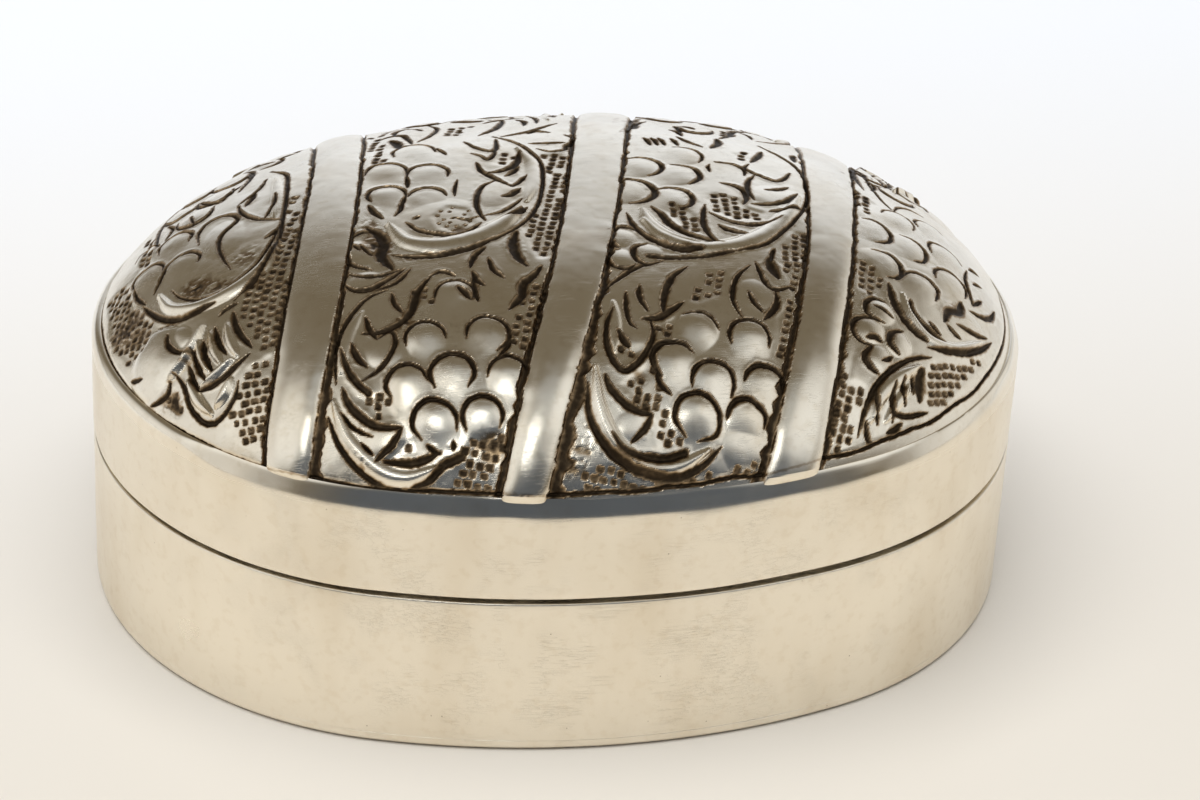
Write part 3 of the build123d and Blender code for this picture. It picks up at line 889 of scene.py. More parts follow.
# %% Panel one, middle motif
def panel_one_middle():
    """The teardrop bunch at the left end, with its dark hollow and the ground round it."""
    scale(-25.6, 4.7, 0.95, 85, 170, 0.26)
    scale(-23.6, 3.6, 1.2, 75, 240, 0.34)
    scale(-25.8, 1.3, 1.2, 90, 220, 0.34)
    scale(-23.4, 0.2, 1.2, 75, 210, 0.36)
    cut([(-26.9, 0.9), (-26.8, -0.3), (-26.3, -1.6)], 0.3)
    cut([(-24.5, 0.8), (-24.9, 0.0), (-25.6, -1.2)], 0.3)
    cut([(-22.1, 1.5), (-22.0, 2.9), (-21.4, 3.9), (-20.5, 4.2), (-19.7, 3.8), (-19.4, 2.9),
         (-19.9, 2.1), (-20.6, 1.2), (-20.9, 0.0), (-20.8, -1.3), (-20.5, -2.8)], 0.34)
    cut([(-19.2, 4.9), (-19.1, 3.5), (-18.4, 2.1), (-17.5, 1.35), (-16.9, 0.9)], 0.32)
    cut([(-17.9, 1.7), (-17.4, 2.5), (-17.0, 3.4), (-16.8, 4.5)], 0.28)
    cut([(-17.1, 7.8), (-17.6, 6.5), (-18.4, 5.6), (-19.1, 5.0)], 0.28)
    cut([(-18.0, 5.9), (-18.3, 5.1), (-18.8, 4.3)], 0.42)
    cut([(-17.3, -0.1), (-17.6, -0.5), (-18.1, -0.8)], 0.36)
    cut([(-21.5, 8.6), (-21.1, 7.5), (-20.3, 6.6)], 0.3)
    cut([(-22.2, 6.3), (-22.2, 5.6), (-22.1, 5.0)], 0.24)
    cut([(-18.7, 8.4), (-19.6, 7.5), (-20.1, 6.6)], 0.26)
    cut([(-16.7, 9.2), (-15.9, 7.6), (-16.0, 5.5), (-16.4, 3.0), (-16.8, 1.0), (-17.2, -1.0),
         (-18.0, -3.0), (-19.2, -4.8), (-20.7, -5.9)], 0.28, taper="none")
    cut([(-24.4, -1.9), (-23.9, -3.2), (-22.8, -4.3), (-21.4, -4.65), (-20.0, -4.1),
         (-18.7, -3.0), (-17.7, -1.3), (-17.0, 0.4)], 0.3)
    cut([(-26.5, -1.6), (-26.0, -3.0), (-25.1, -4.5), (-23.8, -5.3), (-21.8, -5.5)], 0.46)
    ridge([(-25.2, -1.8), (-24.6, -3.8), (-22.9, -4.95), (-20.7, -5.0), (-18.7, -3.9),
           (-17.3, -1.6)], 1.2, 0.2)
    ridge([(-16.5, 7.4), (-16.7, 4.6), (-17.3, 1.6)], 0.9, 0.12)
    cushion(-20.5, 1.0, 1.4, 0.16, 1.6, 80)
    mat([(-15.5, 3.5), (-16.3, 3.3), (-16.6, 0.9), (-17.0, -1.2), (-18.0, -3.6), (-20.2, -5.9),
         (-20.6, -7.0), (-20.1, -10.3), (-19.3, -10.9), (-18.3, -9.6), (-17.6, -7.0),
         (-16.6, -3.2), (-15.9, 0.0)], 70)
    mat([(-29.2, 3.0), (-27.4, 2.6), (-27.2, 0.0), (-26.9, -2.0), (-26.0, -3.6), (-26.8, -5.4),
         (-28.4, -5.8), (-29.4, -3.0)], 60)
    stain(-22.8, -3.0, 1.1, 0.9, 1.3, -30)
    stain(-21.4, -3.9, 0.7, 0.8, 2.0, -5)
    stain(-19.6, -2.2, 0.9, 0.6, 1.4, 40)
    stain(-28.1, -2.4, 1.5, 1.0, 1.1, 30)
    stain(-27.2, -4.2, 0.8, 0.8)
    stain(-25.0, -5.2, 0.3, 0.9, 3.5, -25)


print("panel one middle is ready to strike")

# %% [markdown]
# Low at the left end there is a fan of long leaves instead of a bunch. The leaves are
# ridges between cuts, and one large lobe beside them is a cushion.

# %% Panel one, front motif
def panel_one_front():
    """The fan of long leaves low at the left end, over a matted corner."""
    cut([(-25.2, -5.9), (-25.3, -7.0), (-24.8, -7.8), (-24.0, -8.0)], 0.36)
    cut([(-28.7, -7.0), (-28.2, -7.5), (-27.6, -7.9)], 0.3)
    cut([(-27.9, -9.8), (-27.0, -10.1), (-26.3, -10.0), (-25.9, -9.4)], 0.4)
    cut([(-23.9, -8.3), (-23.8, -10.0), (-23.5, -11.1)], 0.34)
    cut([(-23.1, -8.0), (-23.2, -9.4), (-23.0, -10.7)], 0.34)
    cut([(-22.2, -7.4), (-22.2, -8.8), (-21.9, -9.9)], 0.34)
    cut([(-20.9, -6.8), (-20.9, -8.5), (-20.3, -10.3)], 0.42)
    cut([(-21.8, -6.7), (-21.2, -6.35), (-20.5, -6.3)], 0.34)
    cut([(-25.4, -9.2), (-25.1, -10.4), (-25.1, -11.9), (-24.6, -13.3), (-23.8, -13.85),
         (-22.8, -13.6), (-22.0, -12.9), (-21.6, -12.1)], 0.36)
    cut([(-24.4, -9.2), (-24.35, -10.3), (-24.2, -11.4)], 0.32)
    cut([(-24.2, -11.4), (-23.0, -11.55), (-21.8, -11.2), (-20.5, -10.6)], 0.4)
    ridge([(-26.0, -9.3), (-24.9, -8.8), (-23.6, -7.8), (-22.8, -6.9)], 0.7, 0.3)
    ridge([(-24.7, -10.2), (-24.4, -12.0), (-23.8, -13.3)], 0.8, 0.22)
    ridge([(-23.4, -13.0), (-22.6, -12.5), (-22.0, -11.8)], 0.8, 0.26)
    ridge([(-24.0, -11.2), (-22.8, -10.9), (-21.6, -10.5)], 0.7, 0.22)
    for x in (-23.5, -22.6, -21.5):
        ridge([(x + 0.1, -7.6), (x, -9.0), (x + 0.2, -10.4)], 0.7, 0.16)
    cushion(-26.6, -7.2, 2.0, 0.34, 1.3, 50)
    cushion(-24.6, -6.7, 0.9, 0.14)
    mat([(-19.3, -11.3), (-20.9, -11.6), (-22.2, -13.4), (-23.1, -14.7), (-22.2, -16.2),
         (-21.2, -16.7), (-20.2, -14.5), (-19.2, -12.2)], 165)
    mat([(-26.9, -10.4), (-25.7, -9.9), (-25.6, -12.0), (-26.3, -12.0)], 60)
    stain(-26.2, -10.9, 0.8, 1.0, 1.4, -60)
    stain(-24.3, -8.6, 0.4, 0.8, 2.0, 50)
    stain(-22.6, -8.8, 0.9, 0.35, 1.6, 90)


print("panel one front is ready to strike")

# %% [markdown]
# The panel at the right end has a bunch of eight scales, a palmette and dark slits.

# %% Panel four, middle motif
def panel_four_middle():
    """The bunch at the right end, with its palmette and dark slits."""
    scale(18.3, -3.0, 1.35, 5, 190, 0.34)
    scale(20.6, -3.9, 1.4, 5, 180, 0.34)
    scale(18.1, -6.7, 1.35, 10, 190, 0.42)
    scale(20.6, -7.9, 1.25, 55, 200, 0.38)
    scale(23.3, -6.1, 1.25, 75, 230, 0.34)
    scale(23.8, -3.0, 1.35, 100, 190, 0.26)
    scale(20.9, -0.5, 1.2, 60, 200, 0.24)
    scale(23.6, 0.1, 1.2, 110, 170, 0.22)
    cut([(20.6, 6.0), (20.4, 4.0), (20.5, 2.2), (20.9, 1.0)], 0.22)
    cut([(21.0, 0.8), (21.6, 1.8), (22.7, 2.5), (23.8, 2.5)], 0.22)
    cut([(25.6, -3.0), (25.0, -4.5), (24.9, -6.0), (24.9, -7.3)], 0.3)
    cut([(27.3, -6.0), (26.6, -7.2), (25.5, -7.9), (24.4, -8.0)], 0.42)
    cut([(23.8, -7.5), (23.4, -8.7), (22.4, -9.2), (21.9, -10.3)], 0.66)
    cut([(26.0, -6.0), (25.4, -6.7), (24.9, -7.2)], 0.34)
    cut([(26.6, -4.1), (26.1, -4.2), (25.7, -4.5)], 0.34)
    cut([(26.9, -2.5), (26.4, -2.4), (25.9, -2.7)], 0.4)
    cut([(22.9, -10.0), (24.4, -10.05), (25.7, -9.6)], 0.34)
    cut([(22.1, -10.4), (22.6, -10.9), (23.1, -11.1)], 0.36)
    cut([(26.2, -9.6), (25.1, -10.8), (23.6, -11.9), (22.0, -12.6), (20.2, -12.95)], 0.44)
    cut([(19.5, -9.4), (19.5, -10.5), (20.1, -11.3), (20.9, -11.8), (21.7, -12.0)], 0.48)
    cut([(20.6, -10.8), (21.0, -11.3), (21.4, -11.6)], 0.3)
    cut([(18.15, -8.5), (18.2, -9.9), (18.6, -11.2), (19.3, -12.1), (20.2, -12.6)], 0.6)
    ridge([(19.0, -9.2), (19.2, -10.9), (20.4, -12.3), (22.6, -12.1), (25.0, -10.4)], 0.9, 0.16)
    cushion(23.6, -9.5, 1.3, 0.12, 1.4, 0)
    mat([(18.3, 0.4), (19.2, 1.8), (19.8, 1.0), (18.6, -1.3)], 76)
    mat([(15.9, -9.7), (16.6, -7.0), (17.2, -7.0), (17.7, -8.6), (17.5, -9.3), (16.9, -10.0)], 76)
    stain(23.0, -8.7, 0.6, 0.9, 1.6, 40)
    stain(18.3, -10.0, 0.35, 0.8, 2.6, 100)


print("panel four middle is ready to strike")

# %% [markdown]
# Low at the right end lie a flower and a veined leaf. The flower is four low cushions
# with cuts round them.

# %% Panel four, front motif
def panel_four_front():
    """The flower and the veined leaf low at the right end."""
    cut([(17.6, -10.4), (16.8, -10.3), (16.2, -10.8), (16.1, -11.6), (16.6, -12.0)], 0.34)
    cut([(17.2, -12.2), (16.2, -12.0), (15.2, -12.4), (14.9, -13.2), (15.3, -13.95),
         (16.1, -14.1)], 0.34)
    cut([(18.4, -12.4), (17.6, -12.8), (17.3, -13.6), (17.9, -14.3)], 0.44)
    cut([(16.1, -14.1), (15.5, -14.8), (15.6, -15.5), (16.3, -16.0)], 0.44)
    cut([(15.7, -13.6), (16.3, -13.5), (16.8, -13.7)], 0.4)
    cut([(16.5, -15.1), (17.0, -14.9), (17.4, -14.5)], 0.3)
    cut([(16.6, -11.0), (17.2, -11.2), (17.9, -11.6)], 0.3)
    cut([(14.8, -20.0), (15.2, -18.5), (16.0, -16.9), (17.2, -15.5), (18.8, -14.3),
         (20.4, -13.6)], 0.4)
    cut([(19.7, -14.6), (19.3, -15.6), (19.3, -17.0)], 0.66)
    cut([(16.0, -16.9), (16.0, -18.0), (16.2, -19.1)], 0.32)
    cut([(17.4, -16.2), (17.2, -17.5), (17.3, -18.7)], 0.34)
    cut([(18.1, -15.7), (18.0, -16.7), (18.2, -17.5)], 0.32)
    cut([(18.7, -15.5), (18.8, -16.6)], 0.28)
    cut([(17.0, -18.2), (18.4, -18.1), (20.0, -17.4)], 0.32)
    cut([(16.9, -19.4), (17.5, -19.1), (18.0, -18.6)], 0.4)
    cut([(15.3, -19.0), (15.5, -19.9), (16.1, -20.6)], 0.34)
    for x, y in ((17.0, -11.4), (16.1, -13.0), (17.9, -13.5), (16.4, -15.0)):
        cushion(x, y, 1.0, 0.18)
    ridge([(15.6, -19.0), (16.4, -17.3), (17.8, -15.8), (19.4, -14.6)], 1.0, 0.2)
    ridge([(16.7, -18.8), (17.8, -17.2), (18.5, -16.2)], 0.7, 0.14)
    mat([(20.7, -13.7), (22.6, -13.2), (24.4, -12.0), (25.2, -11.9), (22.6, -14.9),
         (21.4, -16.3), (19.9, -16.9), (19.9, -15.0)], 20)
    mat([(14.9, -14.5), (14.3, -16.8), (15.3, -17.0), (14.6, -18.4), (14.2, -20.4),
         (13.0, -21.2), (13.1, -19.2), (13.8, -16.6)], 76)
    stain(19.4, -15.8, 0.5, 0.95, 1.8, 95)
    stain(17.4, -19.0, 0.3, 0.7)


print("panel four front is ready to strike")

# %% [markdown]
# The far side of the lid isn't known. Two places at its outer ends are out of reach of the
# motifs that are struck there again, so a small bunch is drawn for them.

# %% Far side filler
def far_filler():
    """A small bunch for the outer ends of the far side, which the other motifs don't reach."""
    scale(-21.6, 11.4, 1.3, 255, 210)
    scale(-19.3, 10.6, 1.3, 270, 200)
    scale(-22.9, 8.9, 1.3, 250, 200)
    scale(-20.5, 8.2, 1.3, 260, 220)
    scale(-22.0, 6.2, 1.3, 265, 210)
    cut([(-18.4, 12.6), (-17.8, 10.8), (-18.2, 8.8), (-19.0, 7.2)], 0.36)
    cut([(-24.9, 4.6), (-24.7, 7.0), (-24.1, 9.4), (-22.9, 11.8), (-21.2, 13.4)], 0.42)
    cut([(-24.2, 5.0), (-23.6, 6.2), (-23.9, 7.6)], 0.3)
    mat([(-26.3, 3.0), (-25.4, 3.0), (-25.2, 7.0), (-24.6, 9.4), (-25.6, 7.6)])


print("far filler is ready to strike")

# %% [markdown]
# ## Striking the ornament
# The front of the lid takes each motif as drawn, with flatter scales under the crown. The far
# side isn't known, so motifs are struck there again, turned by half a turn and moved into
# place, and the filler closes its ends.

# %% Strike the panels
FRONT = (panel_one_front, panel_two_front, panel_three_front, panel_four_front)
MIDDLE = (panel_one_middle, panel_two_middle, panel_three_middle, panel_four_middle)
# what fills the back of panels one to four, and how far it is moved after its half turn
BACK = (
    (panel_four_front, (0.3, 0.4)),
    (panel_three_front, (1.8, 0.2)),
    (panel_two_front, (2.0, 0.0)),
    (panel_one_front, (-0.2, -1.2)),
)
for motif in FRONT:
    motif()
place_marks(fullness=0.4)
for motif in MIDDLE:
    motif()
for motif, shift in BACK:
    place_marks(half_turn=True, shift=shift, fullness=0.5)
    motif()
for shift in ((0.0, 0.0), (44.4, -1.6)):
    place_marks(shift=shift, fullness=0.5)
    far_filler()
place_marks()
print("blackened share of the chart", round(float((black > 0.5).mean()), 3))

# %% [markdown]
# ## Bands and border
# Three plain bands cross the lid at a slant, softly rounded. They stand highest at the foot
# and lowest at the crown. Each edge is a hand-cut dark groove, so it wanders and changes width. A thin
# chased line runs round the border, nearer the rim on the left than on the right.

# %% Bands
BAND_STATIONS = (-21, -14, -9, -4, 1, 6, 21)  # y in plan, and x of each edge there
BAND_EDGES = {
    "band_1_left": (-21.0, -19.05, -17.65, -16.35, -15.2, -14.3, -12.4),
    "band_1_right": (-18.6, -16.15, -14.7, -13.45, -12.35, -11.45, -9.3),
    "band_2_left": (-7.1, -4.05, -2.35, -1.0, 0.35, 1.75, 5.2),
    "band_2_right": (-4.5, -1.15, 0.63, 2.0, 3.28, 4.9, 8.6),
    "band_3_left": (7.8, 10.9, 12.75, 14.0, 15.1, 16.2, 19.2),
    "band_3_right": (10.8, 13.6, 15.2, 16.65, 17.95, 19.2, 22.2),
}
# groove width at the front foot, low in front, near the crown and at the back foot
GROOVE_PLACES = (-22, -14, -6, 22)
GROOVE_WIDTHS = {
    "band_1_left": (0.40, 0.34, 0.26, 0.3),
    "band_1_right": (0.80, 0.60, 0.24, 0.3),
    "band_2_left": (0.42, 0.34, 0.26, 0.3),
    "band_2_right": (0.85, 0.62, 0.28, 0.3),
    "band_3_left": (0.60, 0.45, 0.28, 0.3),
    "band_3_right": (0.45, 0.40, 0.28, 0.3),
}
# y, then the band's height there: the bands stand lower at the crown
BAND_HEIGHTS = ((-24, -14, -5, 5, 14, 24), (0.42, 0.34, 0.20, 0.16, 0.24, 0.34))
BAND_ROUND = 1.5  # width of the rounding at each side of a band
BAND_LAP = 0.08  # a band starts this far outside its drawn edge
GROOVE_DEPTH = 0.2


def edge_on_chart(name):
    """A band edge as a smooth curve on the chart: coefficients of x in powers of y."""
    y = np.linspace(-21.5, 21.5, 87)
    x = np.polyval(np.polyfit(BAND_STATIONS, BAND_EDGES[name], 3), y)
    on_dome = oval_share(x, y) < DOME_SHRINK * 0.995
    chart_x, chart_y = plan_to_chart(x[on_dome], y[on_dome])
    return np.polyfit(chart_y, chart_x, 5)


BAND_CURVES = {name: edge_on_chart(name) for name in BAND_EDGES}
print("band edges", len(BAND_CURVES))

# %% [markdown]
# A band is a flat ridge with rounded sides between two grooves. `wander` gives each groove
# its uneven course and width.

# %% Band height and grooves
def wander(y, reach, step, seed):
    """A slow random wander along y, from -reach to reach."""
    knots = np.random.default_rng(seed).uniform(-reach, reach, 90)
    u = np.clip((y + 30) / step, 0, 87)
    low = np.floor(u).astype(int)
    share = u - low
    share = share * share * (3 - 2 * share)
    return knots[low] * (1 - share) + knots[low + 1] * share


def lay_band(number):
    """How far inside the band each cell lies, with the band's height, grooves and blackening."""
    x = np.meshgrid(grid_x, grid_y)[0]
    inner, groove, dark = None, np.zeros_like(x), np.zeros_like(x)
    for side, sign in (("left", 1.0), ("right", -1.0)):
        name = f"band_{number}_{side}"
        edge = np.polyval(BAND_CURVES[name], grid_y) + wander(grid_y, 0.05, 0.9, number * 7 + int(sign))
        tilt = np.gradient(edge, grid_y)
        away = sign * (x - edge[:, None]) / np.sqrt(1 + tilt[:, None] ** 2)
        widths = np.interp(grid_y, GROOVE_PLACES, GROOVE_WIDTHS[name])
        widths = widths * (1 + wander(grid_y, 0.35, 0.45, number * 11 + int(sign)))
        s = (away + 0.5 * widths[:, None]) / (0.5 * widths[:, None]) + 0.16 * ragged
        groove = np.maximum(groove, GROOVE_DEPTH * np.clip(1 - s * s, 0, 1) ** 0.7)
        dark = np.maximum(dark, 0.95 * np.clip(1.3 - np.abs(s), 0, 1) ** 0.7)
        inner = away if inner is None else np.minimum(inner, away)
    q = np.clip((inner + BAND_LAP) / BAND_ROUND, 0, 1)
    tall = np.interp(grid_y, *BAND_HEIGHTS)[:, None]
    return inner, tall * (1 - (1 - q) ** 2.6) ** 0.8, groove, dark


print("band rounding", BAND_ROUND, "mm")

# %% [markdown]
# The border is found from how far each chart point lies inside the dome's foot. Nothing is
# chased outside the border line.

# %% Border
FOOT_WALK = float(_walked[-1])


def rim_away(x, y):
    """How far inside the dome's foot a chart point lies, in millimetres."""
    walked = oval_share(x, y) / DOME_SHRINK
    return (FOOT_WALK - walked) * np.hypot(x, y) / np.maximum(walked, 1e-6)


def border_inset(x, y):
    """Distance of the border line from the foot: wider at the right and at the front right."""
    angle = np.degrees(np.arctan2(y, x))
    stops = (-180, -140, -100, -70, -40, 0, 40, 90, 140, 180)
    inset = np.interp(angle, stops, (0.32, 0.34, 0.55, 0.75, 1.15, 1.2, 0.9, 0.5, 0.35, 0.32))
    return inset + wander(angle / 6, 0.10, 0.8, 5)


print("composing helpers ready")

# %% [markdown]
# Now the layers come together. The cushions are softened as annealed metal would be, the
# cuts stay crisp, the bands cover what lies under them, and everything dies away at the
# dome's foot. The blackening spreads a little round each recess as a brown halo.

# %% Composing the relief
def soften(field, times):
    """Averages each cell with its neighbours, several times."""
    for _ in range(times):
        field = (field + np.roll(field, 1, 0) + np.roll(field, -1, 0)) / 3
        field = (field + np.roll(field, 1, 1) + np.roll(field, -1, 1)) / 3
    return field


BODY_TONE, TONE_CHANGE = 0.06, 0.06  # light blackening left all over the panels
LINE_HALF, LINE_DEPTH = 0.12, 0.14  # the border line
HALO = 0.85  # how strongly the blackening spreads out of a recess


def compose_relief():
    """Puts the panels, the bands and the border together into one height and one black."""
    x, y = np.meshgrid(grid_x, grid_y)
    low = 0.05 * smooth_noise(4.5, 21) + 0.02 * smooth_noise(1.3, 22) + 0.006 * smooth_noise(0.5, 23)
    height = 0.06 + low + soften(swell, 2) - soften(sunk, 12) - np.maximum(cuts, pits)
    dark = np.maximum(black, BODY_TONE + TONE_CHANGE * smooth_noise(2.5, 24))
    line = rim_away(x, y) - border_inset(x, y)
    chased = np.clip(line / 0.35, 0, 1)
    height = height * chased
    dark = dark * np.clip(line / 0.2, 0, 1)
    s = line / LINE_HALF + 0.3 * ragged
    height = height - LINE_DEPTH * np.clip(1 - s * s, 0, 1)
    dark = np.maximum(dark, np.clip(1.5 - np.abs(s), 0, 1))
    for number in (1, 2, 3):
        inner, top, groove, edge_dark = lay_band(number)
        on_band = np.clip((inner + BAND_LAP) / 0.1, 0, 1)
        height = height * (1 - on_band) + (top + 0.5 * low) * on_band
        height = np.where(groove > 0, np.minimum(height, 0.1) - groove, height)
        dark = np.maximum(dark * (1 - on_band) + 0.9 * np.clip(dark - 0.6, 0, 1) * on_band, edge_dark)
    foot = np.clip(rim_away(x, y) / 0.5, 0, 1)
    dark = np.maximum(dark, HALO * soften(dark, 6))
    return height * foot, np.clip(dark, 0, 1)


relief, oxide = compose_relief()
print("relief from", round(float(relief.min()), 2), "to", round(float(relief.max()), 2), "mm")

# %% [markdown]
# ## The dome's pieces
# The dome is made as seven pieces, four panels and three bands, because one mesh fine enough
# for the chasing would be too heavy. They meet in the dark grooves. Each is a closed slab of
# metal: a fine top, a coarser underside that shows the relief from behind, and thin sides.
# A surface this fine can't be shaped with edit mode tools, so its mesh is computed.

# %% Dome surface
def sample(field, x, y):
    """Reads a chart grid between its cells."""
    u = np.clip((x + CHART_X) / CELL, 0, len(grid_x) - 1.001)
    v = np.clip((y + CHART_Y) / CELL, 0, len(grid_y) - 1.001)
    i, j = u.astype(int), v.astype(int)
    fu, fv = u - i, v - j
    lower = field[j, i] * (1 - fu) + field[j, i + 1] * fu
    upper = field[j + 1, i] * (1 - fu) + field[j + 1, i + 1] * fu
    return lower * (1 - fv) + upper * fv


def dome_point(x, y, lift):
    """The point in space, in millimetres, over a chart point at a lift off the smooth dome."""
    px, py, share = chart_to_plan(x, y)
    share = np.clip(share, 0.0, 1.0)
    step = 1e-3
    slope_x = (oval_share(px + step, py) - oval_share(px - step, py)) / (2 * step) / DOME_SHRINK
    slope_y = (oval_share(px, py + step) - oval_share(px, py - step)) / (2 * step) / DOME_SHRINK
    steep = DOME_RISE * DOME_SHOULDER * DOME_FLATNESS * share ** (DOME_FLATNESS - 1)
    up = np.clip(1 - share**DOME_FLATNESS, 0, 1) ** (1 - DOME_SHOULDER)
    normal = np.stack([steep * slope_x, steep * slope_y, up], axis=-1)
    normal = normal / np.linalg.norm(normal, axis=-1, keepdims=True)
    place = np.stack([px, py, dome_height(share)], axis=-1)
    return place + normal * lift[..., None]


print("crown at", round(dome_high[2], 2), "mm")

# %% [markdown]
# Each piece has its own grid of chart points. Columns run between its two edge curves, and
# rows are evenly spaced from the front of the foot to the back.

# %% Piece grids
TOP_ROWS = 592  # steps from front to back, the same on every piece so that edges match
UNDERSIDE_STEP = 4  # the underside takes every fourth vertex


def piece_grid(left, right, columns):
    """Chart points of one piece: columns run between two edge curves, rows front to back."""
    grid = np.zeros((TOP_ROWS + 1, columns + 1, 2))
    for column in range(columns + 1):
        t = column / columns
        y = np.linspace(-CHART_Y, CHART_Y, 2001)
        x = (1 - t) * left(y) + t * right(y)
        within = oval_share(x, y) / DOME_SHRINK <= FOOT_WALK
        first, last = np.flatnonzero(within)[[0, -1]]
        ends = []
        for a, b in ((first - 1, first), (last, last + 1)):
            share_a = oval_share(x[a], y[a]) / DOME_SHRINK - FOOT_WALK
            share_b = oval_share(x[b], y[b]) / DOME_SHRINK - FOOT_WALK
            ends.append(y[a] + (y[b] - y[a]) * share_a / (share_a - share_b))
        y = np.linspace(ends[0], ends[1], 1201)
        x = (1 - t) * left(y) + t * right(y)
        walked = np.concatenate([[0], np.cumsum(np.hypot(np.diff(x), np.diff(y)))])
        stops = np.linspace(0, walked[-1], TOP_ROWS + 1)
        grid[:, column, 0] = np.interp(stops, walked, x)
        grid[:, column, 1] = np.interp(stops, walked, y)
    return grid


print("rows on each piece", TOP_ROWS)

# %% [markdown]
# The slab joins a fine top and a coarse underside by thin side walls, so that it is closed.
# Each side face takes one underside edge and the four top edges above it. The blackening
# goes into the mesh as the attribute `oxide`, which the silver reads.

# %% Dome slabs
DOME_THICKNESS = 0.55
SHOWS_BEHIND = 0.6  # share of the relief that shows on the underside
INSIDE_TONE = 0.15  # the light blackening of the underside


def grid_faces(rows, columns, first, flip=False):
    """Quads of a grid of vertices numbered row by row."""
    j, i = np.meshgrid(np.arange(rows), np.arange(columns), indexing="ij")
    corner = first + j * (columns + 1) + i
    quads = np.stack([corner, corner + 1, corner + columns + 2, corner + columns + 1], axis=-1)
    quads = quads.reshape(-1, 4)
    return (quads[:, ::-1] if flip else quads).tolist()


def build_slab(name, grid):
    """Builds the closed piece of the dome over a grid of chart points."""
    x, y = grid[..., 0], grid[..., 1]
    top = dome_point(x, y, sample(relief, x, y))
    coarse_x = x[::UNDERSIDE_STEP, ::UNDERSIDE_STEP]
    coarse_y = y[::UNDERSIDE_STEP, ::UNDERSIDE_STEP]
    pressed = np.clip(sample(relief, coarse_x, coarse_y), -0.05, 0.4)
    hollow = SHOWS_BEHIND * pressed - DOME_THICKNESS
    under = dome_point(coarse_x, coarse_y, hollow)
    rows, columns = top.shape[0] - 1, top.shape[1] - 1
    under_rows, under_columns = under.shape[0] - 1, under.shape[1] - 1
    base = (rows + 1) * (columns + 1)
    faces = grid_faces(rows, columns, 0)
    faces += grid_faces(under_rows, under_columns, base, flip=True)
    smooth = len(faces)
    upper = np.arange(base).reshape(rows + 1, columns + 1)
    lower = base + np.arange(under.shape[0] * under.shape[1]).reshape(under_rows + 1, -1)
    walls = (
        (upper[0], lower[0], False),
        (upper[-1], lower[-1], True),
        (upper[:, 0], lower[:, 0], True),
        (upper[:, -1], lower[:, -1], False),
    )
    for above, below, flip in walls:
        for k in range(len(below) - 1):
            long_side = above[k * UNDERSIDE_STEP:(k + 1) * UNDERSIDE_STEP + 1]
            loop = [*long_side[::-1].tolist(), int(below[k]), int(below[k + 1])]
            faces.append(loop[::-1] if flip else loop)
    mesh = bpy.data.meshes.new(name)
    points = np.concatenate([top.reshape(-1, 3), under.reshape(-1, 3)]) * MM
    mesh.from_pydata(points.tolist(), [], faces)
    mesh.update()
    flat = np.zeros(len(faces), bool)
    flat[smooth:] = True
    mesh.attributes.new("sharp_face", "BOOLEAN", "FACE").data.foreach_set("value", flat)
    shade = np.concatenate([sample(oxide, x, y).ravel(), np.full(len(under.reshape(-1, 3)), INSIDE_TONE)])
    mesh.attributes.new("oxide", "FLOAT", "POINT").data.foreach_set("value", shade)
    piece = bpy.data.objects.new(name, mesh)
    bpy.context.scene.collection.objects.link(piece)
    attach(piece, "lid")
    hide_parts("lid_dome")
    return piece


print("dome sheet", DOME_THICKNESS, "mm")

# %% [markdown]
# A piece's edge lies in the middle of the groove, a little outside the band. The two outer
# panels end at the tips of the oval, where their last column is short.

# %% Build the dome
GROOVE_MIDDLE = 0.15
PANEL_COLUMNS, BAND_COLUMNS = 148, 40
TIP = HALF_LENGTH * DOME_SHRINK * FOOT_WALK * 0.9985


def edge_curve(name, shift):
    """The chart curve of a piece's edge."""
    return lambda y: np.polyval(BAND_CURVES[name], y) + shift


def tip_curve(side):
    """The upright line at one tip of the oval."""
    return lambda y: np.full_like(y, side * TIP)


SEAMS = [tip_curve(-1)]
for number in (1, 2, 3):
    SEAMS.append(edge_curve(f"band_{number}_left", -GROOVE_MIDDLE))
    SEAMS.append(edge_curve(f"band_{number}_right", GROOVE_MIDDLE))
SEAMS.append(tip_curve(1))
dome_pieces = []
for index in range(7):
    is_band = index % 2 == 1
    name = f"dome_band_{index // 2 + 1}" if is_band else f"dome_panel_{index // 2 + 1}"
    columns = BAND_COLUMNS if is_band else PANEL_COLUMNS
    dome_pieces.append(build_slab(name, piece_grid(SEAMS[index], SEAMS[index + 1], columns)))
    print(name, len(dome_pieces[-1].data.polygons), "faces")

# %% [markdown]
# ## The strip round the oval
# The walls and the collar are strips of sheet bent round the oval and soldered. A maker in
# Blender can do the same: draw the strip's section once and spin it round the four arcs.
# First come two helpers. An operator acts on all that is selected, so everything is
# deselected before a piece is begun, and parts of it are picked by their place.

# %% Selecting by place
def clear_selection():
    """Leaves edit mode and deselects everything, the CAD nodes too."""
    if bpy.context.mode != "OBJECT":
        bpy.ops.object.mode_set(mode="OBJECT")
    bpy.ops.object.select_all(action="DESELECT")


def select_where(piece, kind, test):
    """Selects the vertices, edges or faces whose middle passes the test, in edit mode."""
    bpy.ops.mesh.select_mode(type=kind)
    bpy.ops.mesh.select_all(action="DESELECT")
    bpy.ops.object.mode_set(mode="OBJECT")
    mesh = piece.data
    parts = {"VERT": mesh.vertices, "EDGE": mesh.edges, "FACE": mesh.polygons}[kind]
    for part in parts:
        if kind == "VERT":
            middle = part.co
        else:
            corners = [mesh.vertices[v].co for v in part.vertices]
            middle = sum(corners, Vector()) / len(corners)
        part.select = bool(test(piece.matrix_world @ middle / MM))
    bpy.ops.object.mode_set(mode="EDIT")


print("selection helpers ready")

